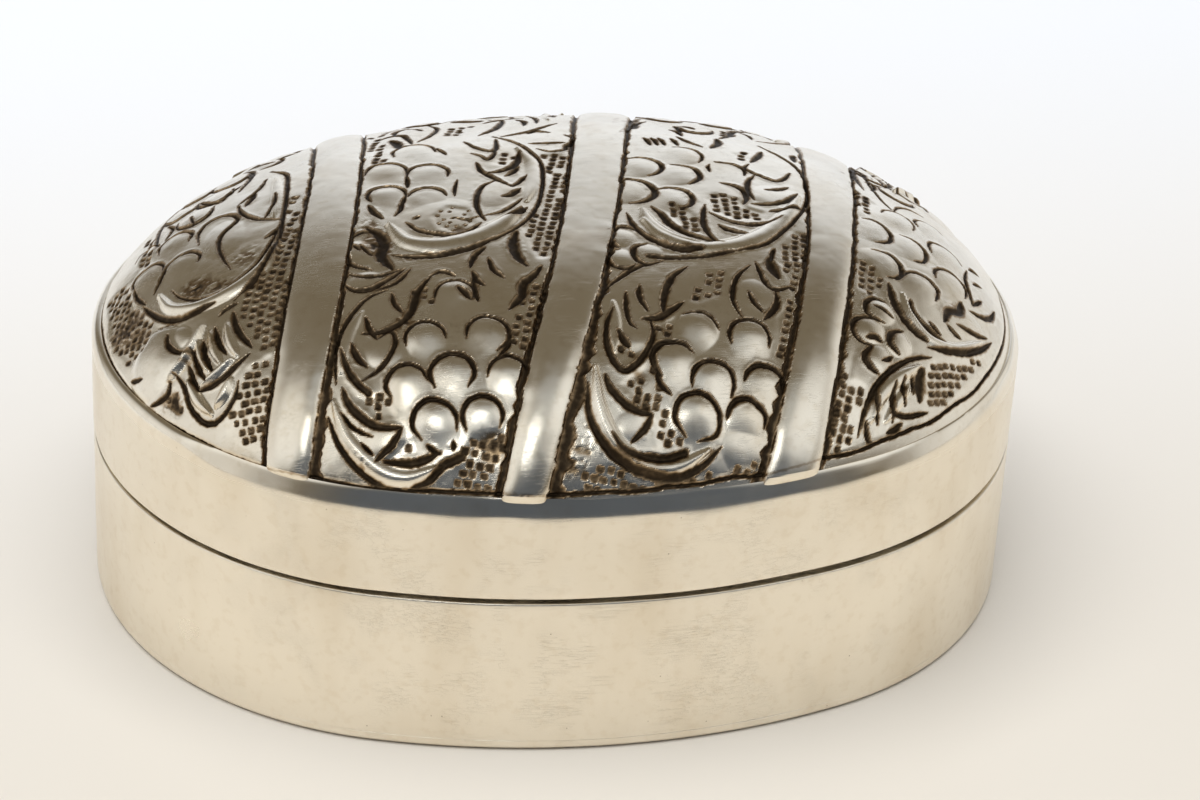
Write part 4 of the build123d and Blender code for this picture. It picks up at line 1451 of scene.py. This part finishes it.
# %% [markdown]
# A section starts as a plane, stood upright at the right end of the oval and stretched to
# the strip's thickness and height. Its corners are rounded by a vertex bevel, and its long
# sides are divided into rows.

# %% Section of a strip
def add_section(name, inset, thickness, foot, top):
    """Adds the strip's upright section as a rectangle at the right end of the oval."""
    clear_selection()
    middle = (HALF_LENGTH - inset - thickness / 2, 0.0, (foot + top) / 2)
    bpy.ops.mesh.primitive_plane_add(
        size=MM, location=Vector(middle) * MM, rotation=(math.pi / 2, 0, 0)
    )
    piece = bpy.context.object
    piece.name = name
    piece.data.name = name
    bpy.ops.object.mode_set(mode="EDIT")
    bpy.ops.transform.resize(value=(thickness, 1.0, top - foot))
    return piece


def round_corner(piece, test, radius, segments):
    """Rounds the corners of a section that pass the test."""
    select_where(piece, "VERT", test)
    bpy.ops.mesh.bevel(offset=radius * MM, segments=segments, affect="VERTICES", profile=0.5)


def divide_sides(piece, low, high, cuts):
    """Empties the section to its outline and divides its two long sides."""
    bpy.ops.mesh.select_mode(type="FACE")
    bpy.ops.mesh.select_all(action="SELECT")
    bpy.ops.mesh.delete(type="ONLY_FACE")
    select_where(piece, "EDGE", lambda p: low < p.z < high)
    bpy.ops.mesh.subdivide(number_cuts=cuts)


print("section helpers ready")

# %% [markdown]
# The outline is spun round the four arcs in five turns, starting and ending at the right
# tip. Each spin leaves its end selected, so the next one goes on from there. Doubles are
# merged where the last turn meets the first, and the normals are made to point outwards.

# %% Sweeping a section
END_STEPS, SIDE_STEPS = 56, 62


def sweep_oval():
    """Spins the section's outline round the oval's four arcs and closes it."""
    bpy.ops.object.mode_set(mode="OBJECT")
    bpy.ops.object.transform_apply(location=True, rotation=True, scale=True)
    bpy.ops.object.mode_set(mode="EDIT")
    bpy.ops.mesh.select_mode(type="VERT")
    bpy.ops.mesh.select_all(action="SELECT")
    arcs = (
        ((END_CENTRE, 0.0), JOIN, END_STEPS),
        ((0.0, -SIDE_CENTRE), math.pi - 2 * JOIN, SIDE_STEPS),
        ((-END_CENTRE, 0.0), 2 * JOIN, 2 * END_STEPS),
        ((0.0, SIDE_CENTRE), math.pi - 2 * JOIN, SIDE_STEPS),
        ((END_CENTRE, 0.0), JOIN, END_STEPS),
    )
    for (x, y), angle, steps in arcs:
        # with no window a spin turns clockwise, so the angle is negative
        bpy.ops.mesh.spin(
            steps=steps, angle=-angle, center=(x * MM, y * MM, 0), axis=(0, 0, 1)
        )
    bpy.ops.mesh.select_all(action="SELECT")
    bpy.ops.mesh.remove_doubles(threshold=0.01 * MM)
    bpy.ops.mesh.normals_make_consistent(inside=False)


def finish_piece(piece, body, nodes, angle=40):
    """Smooths the shading, applies the place and ties the piece to its body."""
    if bpy.context.mode != "OBJECT":
        bpy.ops.object.mode_set(mode="OBJECT")
    bpy.ops.object.transform_apply(location=True, rotation=True, scale=True)
    bpy.ops.object.shade_smooth_by_angle(angle=math.radians(angle))
    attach(piece, body)
    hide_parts(*nodes)
    print(piece.name, len(piece.data.polygons), "faces on", body)


print("steps round the oval", 4 * END_STEPS + 2 * SIDE_STEPS)

# %% [markdown]
# ## Uneven by hand
# No strip bent by hand is quite true. Smooth noise moves each wall in and out by a few
# hundredths of a millimetre, enough to break the reflections, and the edges at the seam
# rise and fall so that the gap opens towards the right.

# %% Hand-made unevenness
def seam_drift(x):
    """How far the lid's foot lies above its drawn place: tight at the left, open at the right."""
    return float(np.interp(x, (-28, -16, 0, 16, 28), (0.05, 0.06, 0.08, 0.12, 0.16)))


def dent(piece, reach, spacing, seed, lift=None):
    """Moves the vertices along their normals by smooth noise, and up or down by lift(place)."""
    mesh = piece.data
    for vertex, normal in zip(mesh.vertices, [v.normal.copy() for v in mesh.vertices]):
        place = vertex.co / MM
        spot = place / spacing + Vector((seed, 0, 0))
        push = reach * noise.noise(spot) + 0.35 * reach * noise.noise(spot * 2.7)
        vertex.co += normal * push * MM
        if lift:
            vertex.co.z += lift(place) * MM
    mesh.update()


print("seam opens by", seam_drift(-HALF_LENGTH), "to", seam_drift(HALF_LENGTH), "mm")

# %% [markdown]
# ## The hinge
# Five short tubes are drawn down from silver, soldered in turn to the base and the lid, and
# pinned. A cylinder is inset at both ends, its bore is bridged and its ends are rounded.
# The walls are cut away round the tubes, wider where the other half's tubes swing past.

# %% Knuckles and pin
KNUCKLE_LENGTH = round(knuckle_high[0] - knuckle_low[0], 2)
KNUCKLE_NODES = (
    "base_knuckle_1", "lid_knuckle_1", "base_knuckle_2", "lid_knuckle_2", "base_knuckle_3",
)
PIN_RADIUS = round((pin_high[2] - pin_low[2]) / 2, 2)
RUNNING_GAP = 0.05  # the lid's tubes turn on the pin
TUBE_ROUND, PIN_ROUND = 0.12, 0.1


def add_rod(name, start, length, radius, sides):
    """Adds a cylinder along X on the hinge axis."""
    clear_selection()
    bpy.ops.mesh.primitive_cylinder_add(
        vertices=sides, radius=radius * MM, depth=length * MM,
        location=Vector((start + length / 2, HINGE_Y, HINGE_Z)) * MM, rotation=(0, math.pi / 2, 0),
    )
    rod = bpy.context.object
    rod.name = name
    rod.data.name = name
    bpy.ops.object.mode_set(mode="EDIT")
    return rod


def round_ends(rod, radius, bevel, segments=3):
    """Rounds the outer edge at both ends of a rod."""
    low, high = min(v.co.z for v in rod.data.vertices), max(v.co.z for v in rod.data.vertices)
    middle = rod.matrix_world.translation.x / MM
    half = (high - low) / MM / 2

    def on_rim(p):
        out = math.hypot(p.y - HINGE_Y, p.z - HINGE_Z)
        return abs(abs(p.x - middle) - half) < 0.01 and out > radius * 0.97

    select_where(rod, "EDGE", on_rim)
    bpy.ops.mesh.bevel(offset=bevel * MM, segments=segments, affect="EDGES", profile=0.5)


for node in KNUCKLE_NODES:
    body = node.split("_")[0]
    start = node_box(node)[0][0]
    bore = PIN_RADIUS + (RUNNING_GAP if body == "lid" else 0.0)
    knuckle = add_rod(f"{body}_tube_{node[-1]}", start, KNUCKLE_LENGTH, KNUCKLE_RADIUS, 48)
    at_end = lambda p: abs(abs(p.x - start - KNUCKLE_LENGTH / 2) - KNUCKLE_LENGTH / 2) < 0.01
    select_where(knuckle, "FACE", at_end)
    bpy.ops.mesh.inset(thickness=(KNUCKLE_RADIUS - bore) * MM)
    bpy.ops.mesh.bridge_edge_loops()
    round_ends(knuckle, KNUCKLE_RADIUS, TUBE_ROUND)
    finish_piece(knuckle, body, [node])

pin = add_rod("hinge_rod", pin_low[0], pin_high[0] - pin_low[0], PIN_RADIUS, 32)
round_ends(pin, PIN_RADIUS, PIN_ROUND)
finish_piece(pin, "base", ["hinge_pin"])

# %% [markdown]
# Both walls are filed away round the tubes. A tube sits tight in its own wall, which holds
# it like solder, and swings free in the other one. The file is a cylinder here, and a
# boolean takes it out of the wall.

# %% Seats for the tubes
SWING = 0.22  # room round the other half's tubes
SEAT_BITE = 0.01  # the tubes sink this far into their own wall
SEAT_END = 0.12  # a cut for the other half's tubes runs on past their ends
SEAT_SIDES = 64


def subtract(wall, cutter):
    """Cuts one closed shape out of another and throws the cutter away."""
    clear_selection()
    wall.select_set(True)
    bpy.context.view_layer.objects.active = wall
    seat = wall.modifiers.new("seat", "BOOLEAN")
    seat.operation = "DIFFERENCE"
    seat.solver = "EXACT"
    seat.object = cutter
    bpy.ops.object.modifier_apply(modifier=seat.name)
    bpy.data.objects.remove(cutter)


def cut_seats(wall, own):
    """Cuts the tubes' seats out of a wall. The own half's tubes sit tight in theirs."""
    for node in KNUCKLE_NODES:
        start = node_box(node)[0][0]
        mine = node.startswith(own)
        radius = KNUCKLE_RADIUS - SEAT_BITE if mine else KNUCKLE_RADIUS + SWING
        beyond = 0.0 if mine else SEAT_END
        cutter = add_rod("cutter", start - beyond, KNUCKLE_LENGTH + 2 * beyond, radius, SEAT_SIDES)
        subtract(wall, cutter)


print("seat radius", KNUCKLE_RADIUS - SEAT_BITE, "own,", round(KNUCKLE_RADIUS + SWING, 2), "other")


# %% [markdown]
# ## The base
# The base is a flat oval sheet with a rounded foot, soldered under a plain strip. Inside
# stands a thinner strip, the collar, and the lid closes over it.

# %% Base sheet
FOOT_ROUND = 0.45
SHEET_RIM = 3.0  # the swept part of the sheet, the rest is filled across

sheet = add_section("base_sheet", 0.0, SHEET_RIM, 0.0, FLOOR_TOP)
round_corner(sheet, lambda p: p.x > HALF_LENGTH - 0.1 and p.z < 0.1, FOOT_ROUND, 5)
round_corner(sheet, lambda p: p.x > HALF_LENGTH - 0.1 and p.z > FLOOR_TOP - 0.05, 0.015, 1)
select_where(sheet, "EDGE", lambda p: p.x < HALF_LENGTH - SHEET_RIM + 0.01)
bpy.ops.mesh.delete(type="EDGE_FACE")
bpy.ops.mesh.select_mode(type="VERT")
sweep_oval()
bpy.ops.mesh.select_mode(type="EDGE")
bpy.ops.mesh.select_all(action="DESELECT")
bpy.ops.mesh.select_non_manifold()
bpy.ops.mesh.fill_holes(sides=0)
bpy.ops.mesh.select_all(action="SELECT")
bpy.ops.mesh.normals_make_consistent(inside=False)
finish_piece(sheet, "base", ["base_plate"])

# %% [markdown]
# The wall is one strip of sheet. Its section is a rectangle with a rounded outer corner
# at the top and rows along its sides, and the spin carries it round the oval. The rows
# let `dent` bend the strip a little, as hammering and soldering do.

# %% Base wall
WALL_ROWS = 26
BASE_WALL = round(wall_high[0] - collar_high[0], 2)
strip = add_section("base_strip", 0.0, BASE_WALL, FLOOR_TOP, BASE_TOP)
round_corner(strip, lambda p: p.x > HALF_LENGTH - 0.1 and p.z > BASE_TOP - 0.1, 0.12, 3)
round_corner(strip, lambda p: p.x > HALF_LENGTH - 0.1 and p.z < FLOOR_TOP + 0.1, 0.015, 1)
divide_sides(strip, FLOOR_TOP + 2, BASE_TOP - 2, WALL_ROWS)
sweep_oval()
bpy.ops.object.mode_set(mode="OBJECT")


def base_edge(place):
    """The base's top edge dips towards the right."""
    near_top = max(0.0, (place.z - BASE_TOP + 2.0) / 2.0)
    return -0.45 * near_top * seam_drift(place.x) + 0.02 * near_top * noise.noise(place / 5)


dent(strip, 0.035, 6.0, 3.0, base_edge)
cut_seats(strip, "base")
finish_piece(strip, "base", ["base_wall"])

# %% [markdown]
# The collar is a strip inside the wall. It stands above the seam, so that the lid has
# something to close over, and it is notched where the hinge passes.

# %% Collar
COLLAR = 0.4
collar = add_section("collar_strip", BASE_WALL, COLLAR, collar_low[2], collar_high[2])
round_corner(collar, lambda p: p.z > collar_high[2] - 0.1, 0.12, 3)
divide_sides(collar, collar_low[2] + 2, collar_high[2] - 2, 8)
sweep_oval()
bpy.ops.object.mode_set(mode="OBJECT")
dent(collar, 0.02, 6.0, 9.0)
HINGE_SPAN = pin_high[0] - pin_low[0] + 2 * SEAT_END
NOTCH_HEIGHT = 2.4
swing_room = add_rod("cutter", -HINGE_SPAN / 2, HINGE_SPAN, KNUCKLE_RADIUS + SWING, SEAT_SIDES)
subtract(collar, swing_room)
clear_selection()
bpy.ops.mesh.primitive_cube_add(
    size=MM, location=Vector((0, HINGE_Y, HINGE_Z + KNUCKLE_RADIUS)) * MM,
    scale=(HINGE_SPAN, 4 * KNUCKLE_RADIUS, NOTCH_HEIGHT),
)
subtract(collar, bpy.context.object)
finish_piece(collar, "base", ["base_collar"])

# %% [markdown]
# ## The lid's wall
# The lid's wall is a strip like the base's, and its top edge is rolled over the dome's foot.
# The roll is tall and leaning, deep in front and slight at the left end, and it was
# burnished bright. Its foot wanders.

# %% Rolled edge
ROLL = 0.5
ROLL_HEIGHT = 1.25  # the roll is taller than it is deep
ROLL_RISES = ((0, 0.12, 0.25, 0.75, 0.9, 1), (0, 0.11, 0.30, 0.86, 0.96, 1))  # round, then height
ROLL_INSETS = ((0, 0.12, 0.25, 0.75, 0.9, 1), (0, 0.04, 0.18, 0.78, 0.92, 1))  # round, then inset
ROLL_TOP = RIM_HEIGHT + 0.6


def roll_depth(x, y):
    """How deep the roll is round the oval: full in front, slight at the left end."""
    angle = np.degrees(np.arctan2(y, x))
    stops = (-180, -153, -146, -60, -25, 20, 60, 150, 165, 180)
    return np.interp(angle, stops, (0.2, 0.2, 1.0, 1.0, 0.6, 0.5, 1.0, 1.0, 0.2, 0.2))


def shape_roll(piece):
    """Turns the strip's rounded top corner into a tall, leaning and uneven roll."""
    mesh = piece.data
    points = np.array([v.co for v in mesh.vertices]) / MM
    x, y, z = points.T
    step = 1e-3
    out_x = oval_share(x + step, y) - oval_share(x - step, y)
    out_y = oval_share(x, y + step) - oval_share(x, y - step)
    steep = np.hypot(out_x, out_y)
    inset = (1 - oval_share(x, y)) / steep * 2 * step
    arc_foot = ROLL_TOP - ROLL
    turn = np.clip(np.arctan2(z - arc_foot, ROLL - inset) / (math.pi / 2), 0, 1)
    sway = np.array([noise.noise(Vector((a / 3.2, b / 3.2, 4.0))) for a, b in zip(x, y)])
    depth = roll_depth(x, y)
    foot = ROLL_TOP - ROLL_HEIGHT + 0.30 * sway
    leaning_z = foot + (ROLL_TOP - foot) * np.interp(turn, *ROLL_RISES)
    leaning_inset = ROLL * np.interp(turn, *ROLL_INSETS)
    on_arc = (inset < ROLL + 0.01) & (z > arc_foot - 1e-3)
    new_z = np.where(on_arc, depth * leaning_z + (1 - depth) * z, z)
    new_inset = np.where(on_arc, depth * leaning_inset + (1 - depth) * inset, inset)
    on_wall = (inset < 0.02) & (z < arc_foot - 1e-3) & (z > LID_FOOT + 0.2)
    wall_foot = LID_FOOT + 0.1
    wall_top = depth * foot + (1 - depth) * arc_foot
    pressed = wall_foot + (z - wall_foot) * (wall_top - wall_foot) / (arc_foot - wall_foot)
    new_z = np.where(on_wall, pressed, new_z)
    move = (inset - new_inset) / steep
    placed_points = np.stack([x + out_x * move, y + out_y * move, new_z], axis=1) * MM
    mesh.vertices.foreach_set("co", placed_points.ravel())
    mesh.update()


print("roll up to", ROLL, "mm deep and", ROLL_HEIGHT, "mm tall")

# %% [markdown]
# The lid's wall is drawn, swept and dented like the base's, and then its top is rolled.
# Its foot rises a little towards the right, where the seam opens.

# %% Lid wall
LID_WALL = 0.65
rim = add_section("lid_strip", 0.0, LID_WALL, LID_FOOT, ROLL_TOP)
round_corner(rim, lambda p: p.x > HALF_LENGTH - 0.1 and p.z > ROLL_TOP - 0.1, ROLL, 8)
round_corner(rim, lambda p: p.x > HALF_LENGTH - 0.1 and p.z < LID_FOOT + 0.1, 0.10, 3)
round_corner(rim, lambda p: p.x < HALF_LENGTH - 0.6 and p.z > ROLL_TOP - 0.1, 0.12, 2)
divide_sides(rim, LID_FOOT + 1.5, ROLL_TOP - 2, 18)
sweep_oval()
bpy.ops.object.mode_set(mode="OBJECT")
shape_roll(rim)


def lid_edge(place):
    """The lid's foot rises towards the right."""
    near_foot = max(0.0, (LID_FOOT + 2.0 - place.z) / 2.0)
    sway = noise.noise(place / 4.0 + Vector((11, 0, 0)))
    return near_foot * (seam_drift(place.x) + 0.02 * sway)


dent(rim, 0.035, 5.0, 5.0, lid_edge)
cut_seats(rim, "lid")
finish_piece(rim, "lid", ["lid_wall"])

# %% [markdown]
# ## Silver
# Every part is the same metal at a different stage of wear. Four effects are shared, so each
# is a node group: fine scratches, small pits, a warm tarnish in soft patches, and a slow
# variation of the polish. Each material mixes them with its own amounts. The first helpers
# only save typing when nodes are added and joined.

# %% Node helpers
def new_group(name, inputs, outputs):
    """Starts a shader node group with named value inputs and outputs."""
    group = bpy.data.node_groups.new(name, "ShaderNodeTree")
    for label, value in inputs:
        socket = group.interface.new_socket(label, in_out="INPUT", socket_type="NodeSocketFloat")
        socket.default_value = value
    for label in outputs:
        group.interface.new_socket(label, in_out="OUTPUT", socket_type="NodeSocketFloat")
    return group, group.nodes.new("NodeGroupInput"), group.nodes.new("NodeGroupOutput")


def add_math(tree, operation, first, second=None, clamp=False):
    """Adds a Math node. Each input is a socket or a number."""
    node = tree.nodes.new("ShaderNodeMath")
    node.operation = operation
    node.use_clamp = clamp
    for socket, value in zip(node.inputs, (first, second)):
        if isinstance(value, (int, float)):
            socket.default_value = value
        elif value is not None:
            tree.links.new(value, socket)
    return node.outputs[0]


def add_noise(tree, scale, detail=2.0, vector=None, roughness=0.5):
    """Adds a Noise Texture on object coordinates and gives its value."""
    node = tree.nodes.new("ShaderNodeTexNoise")
    node.inputs["Scale"].default_value = scale
    node.inputs["Detail"].default_value = detail
    node.inputs["Roughness"].default_value = roughness
    if vector is None:
        where = tree.nodes.new("ShaderNodeTexCoord")
        vector = where.outputs["Object"]
    tree.links.new(vector, node.inputs["Vector"])
    return node.outputs["Fac"]


def add_ramp(tree, value, low, high):
    """Maps a value from low..high to 0..1, softly."""
    node = tree.nodes.new("ShaderNodeMapRange")
    node.interpolation_type = "SMOOTHSTEP"
    node.inputs["From Min"].default_value = low
    node.inputs["From Max"].default_value = high
    tree.links.new(value, node.inputs["Value"])
    return node.outputs["Result"]


print("node helpers ready")

# %% [markdown]
# Wiping and handling leave fine straight scratches. A noise stretched hard along one
# direction gives stripes, its middle value gives thin lines, and a second noise breaks
# them into short lengths.

# %% Scratches
# how each set of scratches is turned, and how far it is stretched into lines
SCRATCH_WAYS = (((0.3, 0.9, 0.2), 30), ((1.1, 0.2, 1.9), 22), ((0.2, 1.5, 2.6), 26))


def scratch_group():
    """Fine straight scratches in three directions, broken into short lengths."""
    group, given, result = new_group("fine_scratches", [("Amount", 1.0)], ["Height", "Mask"])
    where = group.nodes.new("ShaderNodeTexCoord")
    total = None
    for k, (turn, stretch) in enumerate(SCRATCH_WAYS):
        spin = group.nodes.new("ShaderNodeMapping")
        spin.inputs["Rotation"].default_value = turn
        spin.inputs["Scale"].default_value = (1.0, stretch, stretch)
        group.links.new(where.outputs["Object"], spin.inputs["Vector"])
        lines = add_noise(group, 190.0, 1.0, spin.outputs["Vector"])
        from_middle = add_math(group, "ABSOLUTE", add_math(group, "SUBTRACT", lines, 0.5))
        narrow = add_ramp(group, from_middle, 0.020, 0.0)
        places = add_ramp(group, add_noise(group, 260.0 + 70 * k, 1.0), 0.52, 0.66)
        line = add_math(group, "MULTIPLY", narrow, places)
        total = line if total is None else add_math(group, "MAXIMUM", total, line)
    amount = add_math(group, "MULTIPLY", total, given.outputs["Amount"])
    group.links.new(amount, result.inputs["Mask"])
    group.links.new(add_math(group, "MULTIPLY", amount, -1.0), result.inputs["Height"])
    return group


print("directions of scratches", len(SCRATCH_WAYS))

# %% [markdown]
# A cell texture gives small round spots, and only about one cell in ten keeps its spot.
# The tarnish is a soft cloud, stretched upright, with a finer speckle in it.

# %% Pits and tarnish
def pit_group():
    """Small sparse pits, like dust caught in the polish."""
    group, given, result = new_group("small_pits", [("Amount", 1.0)], ["Height", "Mask"])
    where = group.nodes.new("ShaderNodeTexCoord")
    cells = group.nodes.new("ShaderNodeTexVoronoi")
    cells.inputs["Scale"].default_value = 1700.0
    group.links.new(where.outputs["Object"], cells.inputs["Vector"])
    spot = add_ramp(group, cells.outputs["Distance"], 0.10, 0.02)
    split = group.nodes.new("ShaderNodeSeparateColor")
    group.links.new(cells.outputs["Color"], split.inputs["Color"])
    chosen = add_ramp(group, split.outputs["Red"], 0.90, 0.98)
    amount = add_math(group, "MULTIPLY", add_math(group, "MULTIPLY", spot, chosen), given.outputs["Amount"])
    group.links.new(amount, result.inputs["Mask"])
    group.links.new(add_math(group, "MULTIPLY", amount, -1.0), result.inputs["Height"])
    return group


def tarnish_group():
    """Soft warm patches of tarnish, with a finer speckle in them."""
    group, given, result = new_group("warm_tarnish", [("Amount", 1.0)], ["Mask"])
    where = group.nodes.new("ShaderNodeTexCoord")
    tall = group.nodes.new("ShaderNodeMapping")
    tall.inputs["Scale"].default_value = (1.0, 1.0, 0.4)
    group.links.new(where.outputs["Object"], tall.inputs["Vector"])
    patches = add_ramp(group, add_noise(group, 210.0, 3.0, tall.outputs["Vector"]), 0.40, 0.75)
    speckle = add_ramp(group, add_noise(group, 1500.0, 2.0), 0.50, 0.72)
    mixed = add_math(group, "ADD", add_math(group, "MULTIPLY", patches, 0.75),
                     add_math(group, "MULTIPLY", speckle, 0.35))
    amount = add_math(group, "MULTIPLY", mixed, given.outputs["Amount"], clamp=True)
    group.links.new(amount, result.inputs["Mask"])
    return group


print("pits and tarnish ready")

# %% [markdown]
# Last comes a slow change of the polish, which makes a flat wall look rubbed by hand.

# %% Uneven polish
def polish_group():
    """A slow change of the polish over the surface, around 0."""
    group, given, result = new_group("uneven_polish", [("Amount", 1.0)], ["Value"])
    slow = add_math(group, "SUBTRACT", add_noise(group, 120.0, 3.0, None, 0.6), 0.5)
    group.links.new(add_math(group, "MULTIPLY", slow, given.outputs["Amount"]), result.inputs["Value"])
    return group


GROUPS = {g.name: g for g in (scratch_group(), pit_group(), tarnish_group(), polish_group())}
print("node groups", sorted(GROUPS))

# %% [markdown]
# A silver material starts from one builder with a few numbers. The chased silver adds the
# blackening kept in the mesh's `oxide` attribute: there the metal is brown-black and rough,
# with a brown edge. The plain silver can be burnished along the rolled edge.

# %% Silver colours and helpers
CLEAN_SILVER = (0.90, 0.83, 0.70, 1.0)
TARNISH = (0.60, 0.47, 0.29, 1.0)
OLD_DIRT = (0.30, 0.23, 0.15, 1.0)
BLACKENING = (0.050, 0.034, 0.020, 1.0)
BROWN_EDGE = (0.36, 0.25, 0.14, 1.0)
BUMP_REACH = 0.02  # millimetres


def place_group(tree, name, amount):
    """Places a shared group in a material with its own amount."""
    node = tree.nodes.new("ShaderNodeGroup")
    node.node_tree = GROUPS[name]
    node.inputs["Amount"].default_value = amount
    return node


def mix_colour(tree, share, first, second):
    """Mixes two colours. Each is a socket or four numbers."""
    node = tree.nodes.new("ShaderNodeMix")
    node.data_type = "RGBA"
    tree.links.new(share, node.inputs["Factor"])
    for socket, value in ((node.inputs[6], first), (node.inputs[7], second)):
        if isinstance(value, tuple):
            socket.default_value = value
        else:
            tree.links.new(value, socket)
    return node.outputs[2]


def burnished_above(tree, low, high):
    """A mask that rises from 0 to 1 between two heights, where the rolled edge was burnished."""
    where = tree.nodes.new("ShaderNodeTexCoord")
    split = tree.nodes.new("ShaderNodeSeparateXYZ")
    tree.links.new(where.outputs["Object"], split.inputs[0])
    return add_ramp(tree, split.outputs["Z"], low * MM, high * MM)


print("clean silver", CLEAN_SILVER)

# %% [markdown]
# The builder stacks the effects from the metal outwards: the clean colour, the tarnish,
# the dirt in pits and scratches, then the blackening. A number that is the same all over
# is set on the shader itself.

# %% Building a silver
def silver(name, clean, roughness, tarnish, scratches, pits, polish, blackened=False,
           burnished=False):
    """Builds one silver: polish, scratches, pits, tarnish and, where asked, more."""
    material = bpy.data.materials.new(name)
    material.use_nodes = True
    tree = material.node_tree
    shader = tree.nodes["Principled BSDF"]
    scratch = place_group(tree, "fine_scratches", scratches)
    pit = place_group(tree, "small_pits", pits)
    warm = place_group(tree, "warm_tarnish", tarnish)
    uneven = place_group(tree, "uneven_polish", polish)
    colour = mix_colour(tree, warm.outputs["Mask"], clean, TARNISH)
    colour = mix_colour(tree, pit.outputs["Mask"], colour, OLD_DIRT)
    colour = mix_colour(tree, add_math(tree, "MULTIPLY", scratch.outputs["Mask"], 0.12), colour, TARNISH)
    rough = add_math(tree, "ADD", uneven.outputs["Value"], roughness)
    rough = add_math(tree, "ADD", rough, add_math(tree, "MULTIPLY", scratch.outputs["Mask"], 0.12))
    height = add_math(tree, "ADD", scratch.outputs["Height"], pit.outputs["Height"])
    if burnished:
        roll = burnished_above(tree, ROLL_TOP - ROLL_HEIGHT - 0.1, ROLL_TOP - ROLL_HEIGHT + 0.3)
        rough = add_math(tree, "SUBTRACT", rough, add_math(tree, "MULTIPLY", roll, 0.15))
        height = add_math(tree, "MULTIPLY", height, add_math(tree, "SUBTRACT", 1.0, roll))
    if blackened:
        kept = tree.nodes.new("ShaderNodeAttribute")
        kept.attribute_name = "oxide"
        grain = add_math(tree, "SUBTRACT", add_noise(tree, 2600.0), 0.5)
        stained = add_math(tree, "ADD", kept.outputs["Fac"], add_math(tree, "MULTIPLY", grain, 0.4))
        brown = add_ramp(tree, stained, 0.08, 0.55)
        dark = add_ramp(tree, stained, 0.38, 1.0)
        colour = mix_colour(tree, brown, colour, BROWN_EDGE)
        colour = mix_colour(tree, dark, colour, BLACKENING)
        rough = add_math(tree, "ADD", rough, add_math(tree, "MULTIPLY", dark, 0.3))
    shader.inputs["Metallic"].default_value = 1.0
    tree.links.new(colour, shader.inputs["Base Color"])
    tree.links.new(rough, shader.inputs["Roughness"])
    bump = tree.nodes.new("ShaderNodeBump")
    bump.inputs["Strength"].default_value = 0.5
    bump.inputs["Distance"].default_value = BUMP_REACH * MM
    tree.links.new(height, bump.inputs["Height"])
    tree.links.new(bump.outputs["Normal"], shader.inputs["Normal"])
    return material


print("silver builder ready")

# %% [markdown]
# The inside is the dullest of the four and the chased dome the smoothest. Only the plain
# silver of the walls has the burnished edge.

# %% The four silvers
SILVERS = {
    "plain_silver": silver("plain_silver", CLEAN_SILVER, 0.32, 0.36, 0.55, 1.0, 0.2, burnished=True),
    "inner_silver": silver("inner_silver", (0.86, 0.80, 0.70, 1.0), 0.38, 0.45, 0.6, 0.4, 0.15),
    "chased_silver": silver("chased_silver", CLEAN_SILVER, 0.25, 0.40, 0.18, 0.2, 0.12, blackened=True),
    "hinge_silver": silver("hinge_silver", (0.84, 0.79, 0.70, 1.0), 0.34, 0.35, 0.8, 0.4, 0.12),
}
for piece in dome_pieces:
    piece.data.materials.append(SILVERS["chased_silver"])
for piece in (sheet, strip, rim):
    piece.data.materials.append(SILVERS["plain_silver"])
collar.data.materials.append(SILVERS["inner_silver"])
for piece in bpy.context.scene.objects:
    if "_tube_" in piece.name or piece.name == "hinge_rod":
        piece.data.materials.append(SILVERS["hinge_silver"])
print("silvers", sorted(SILVERS))
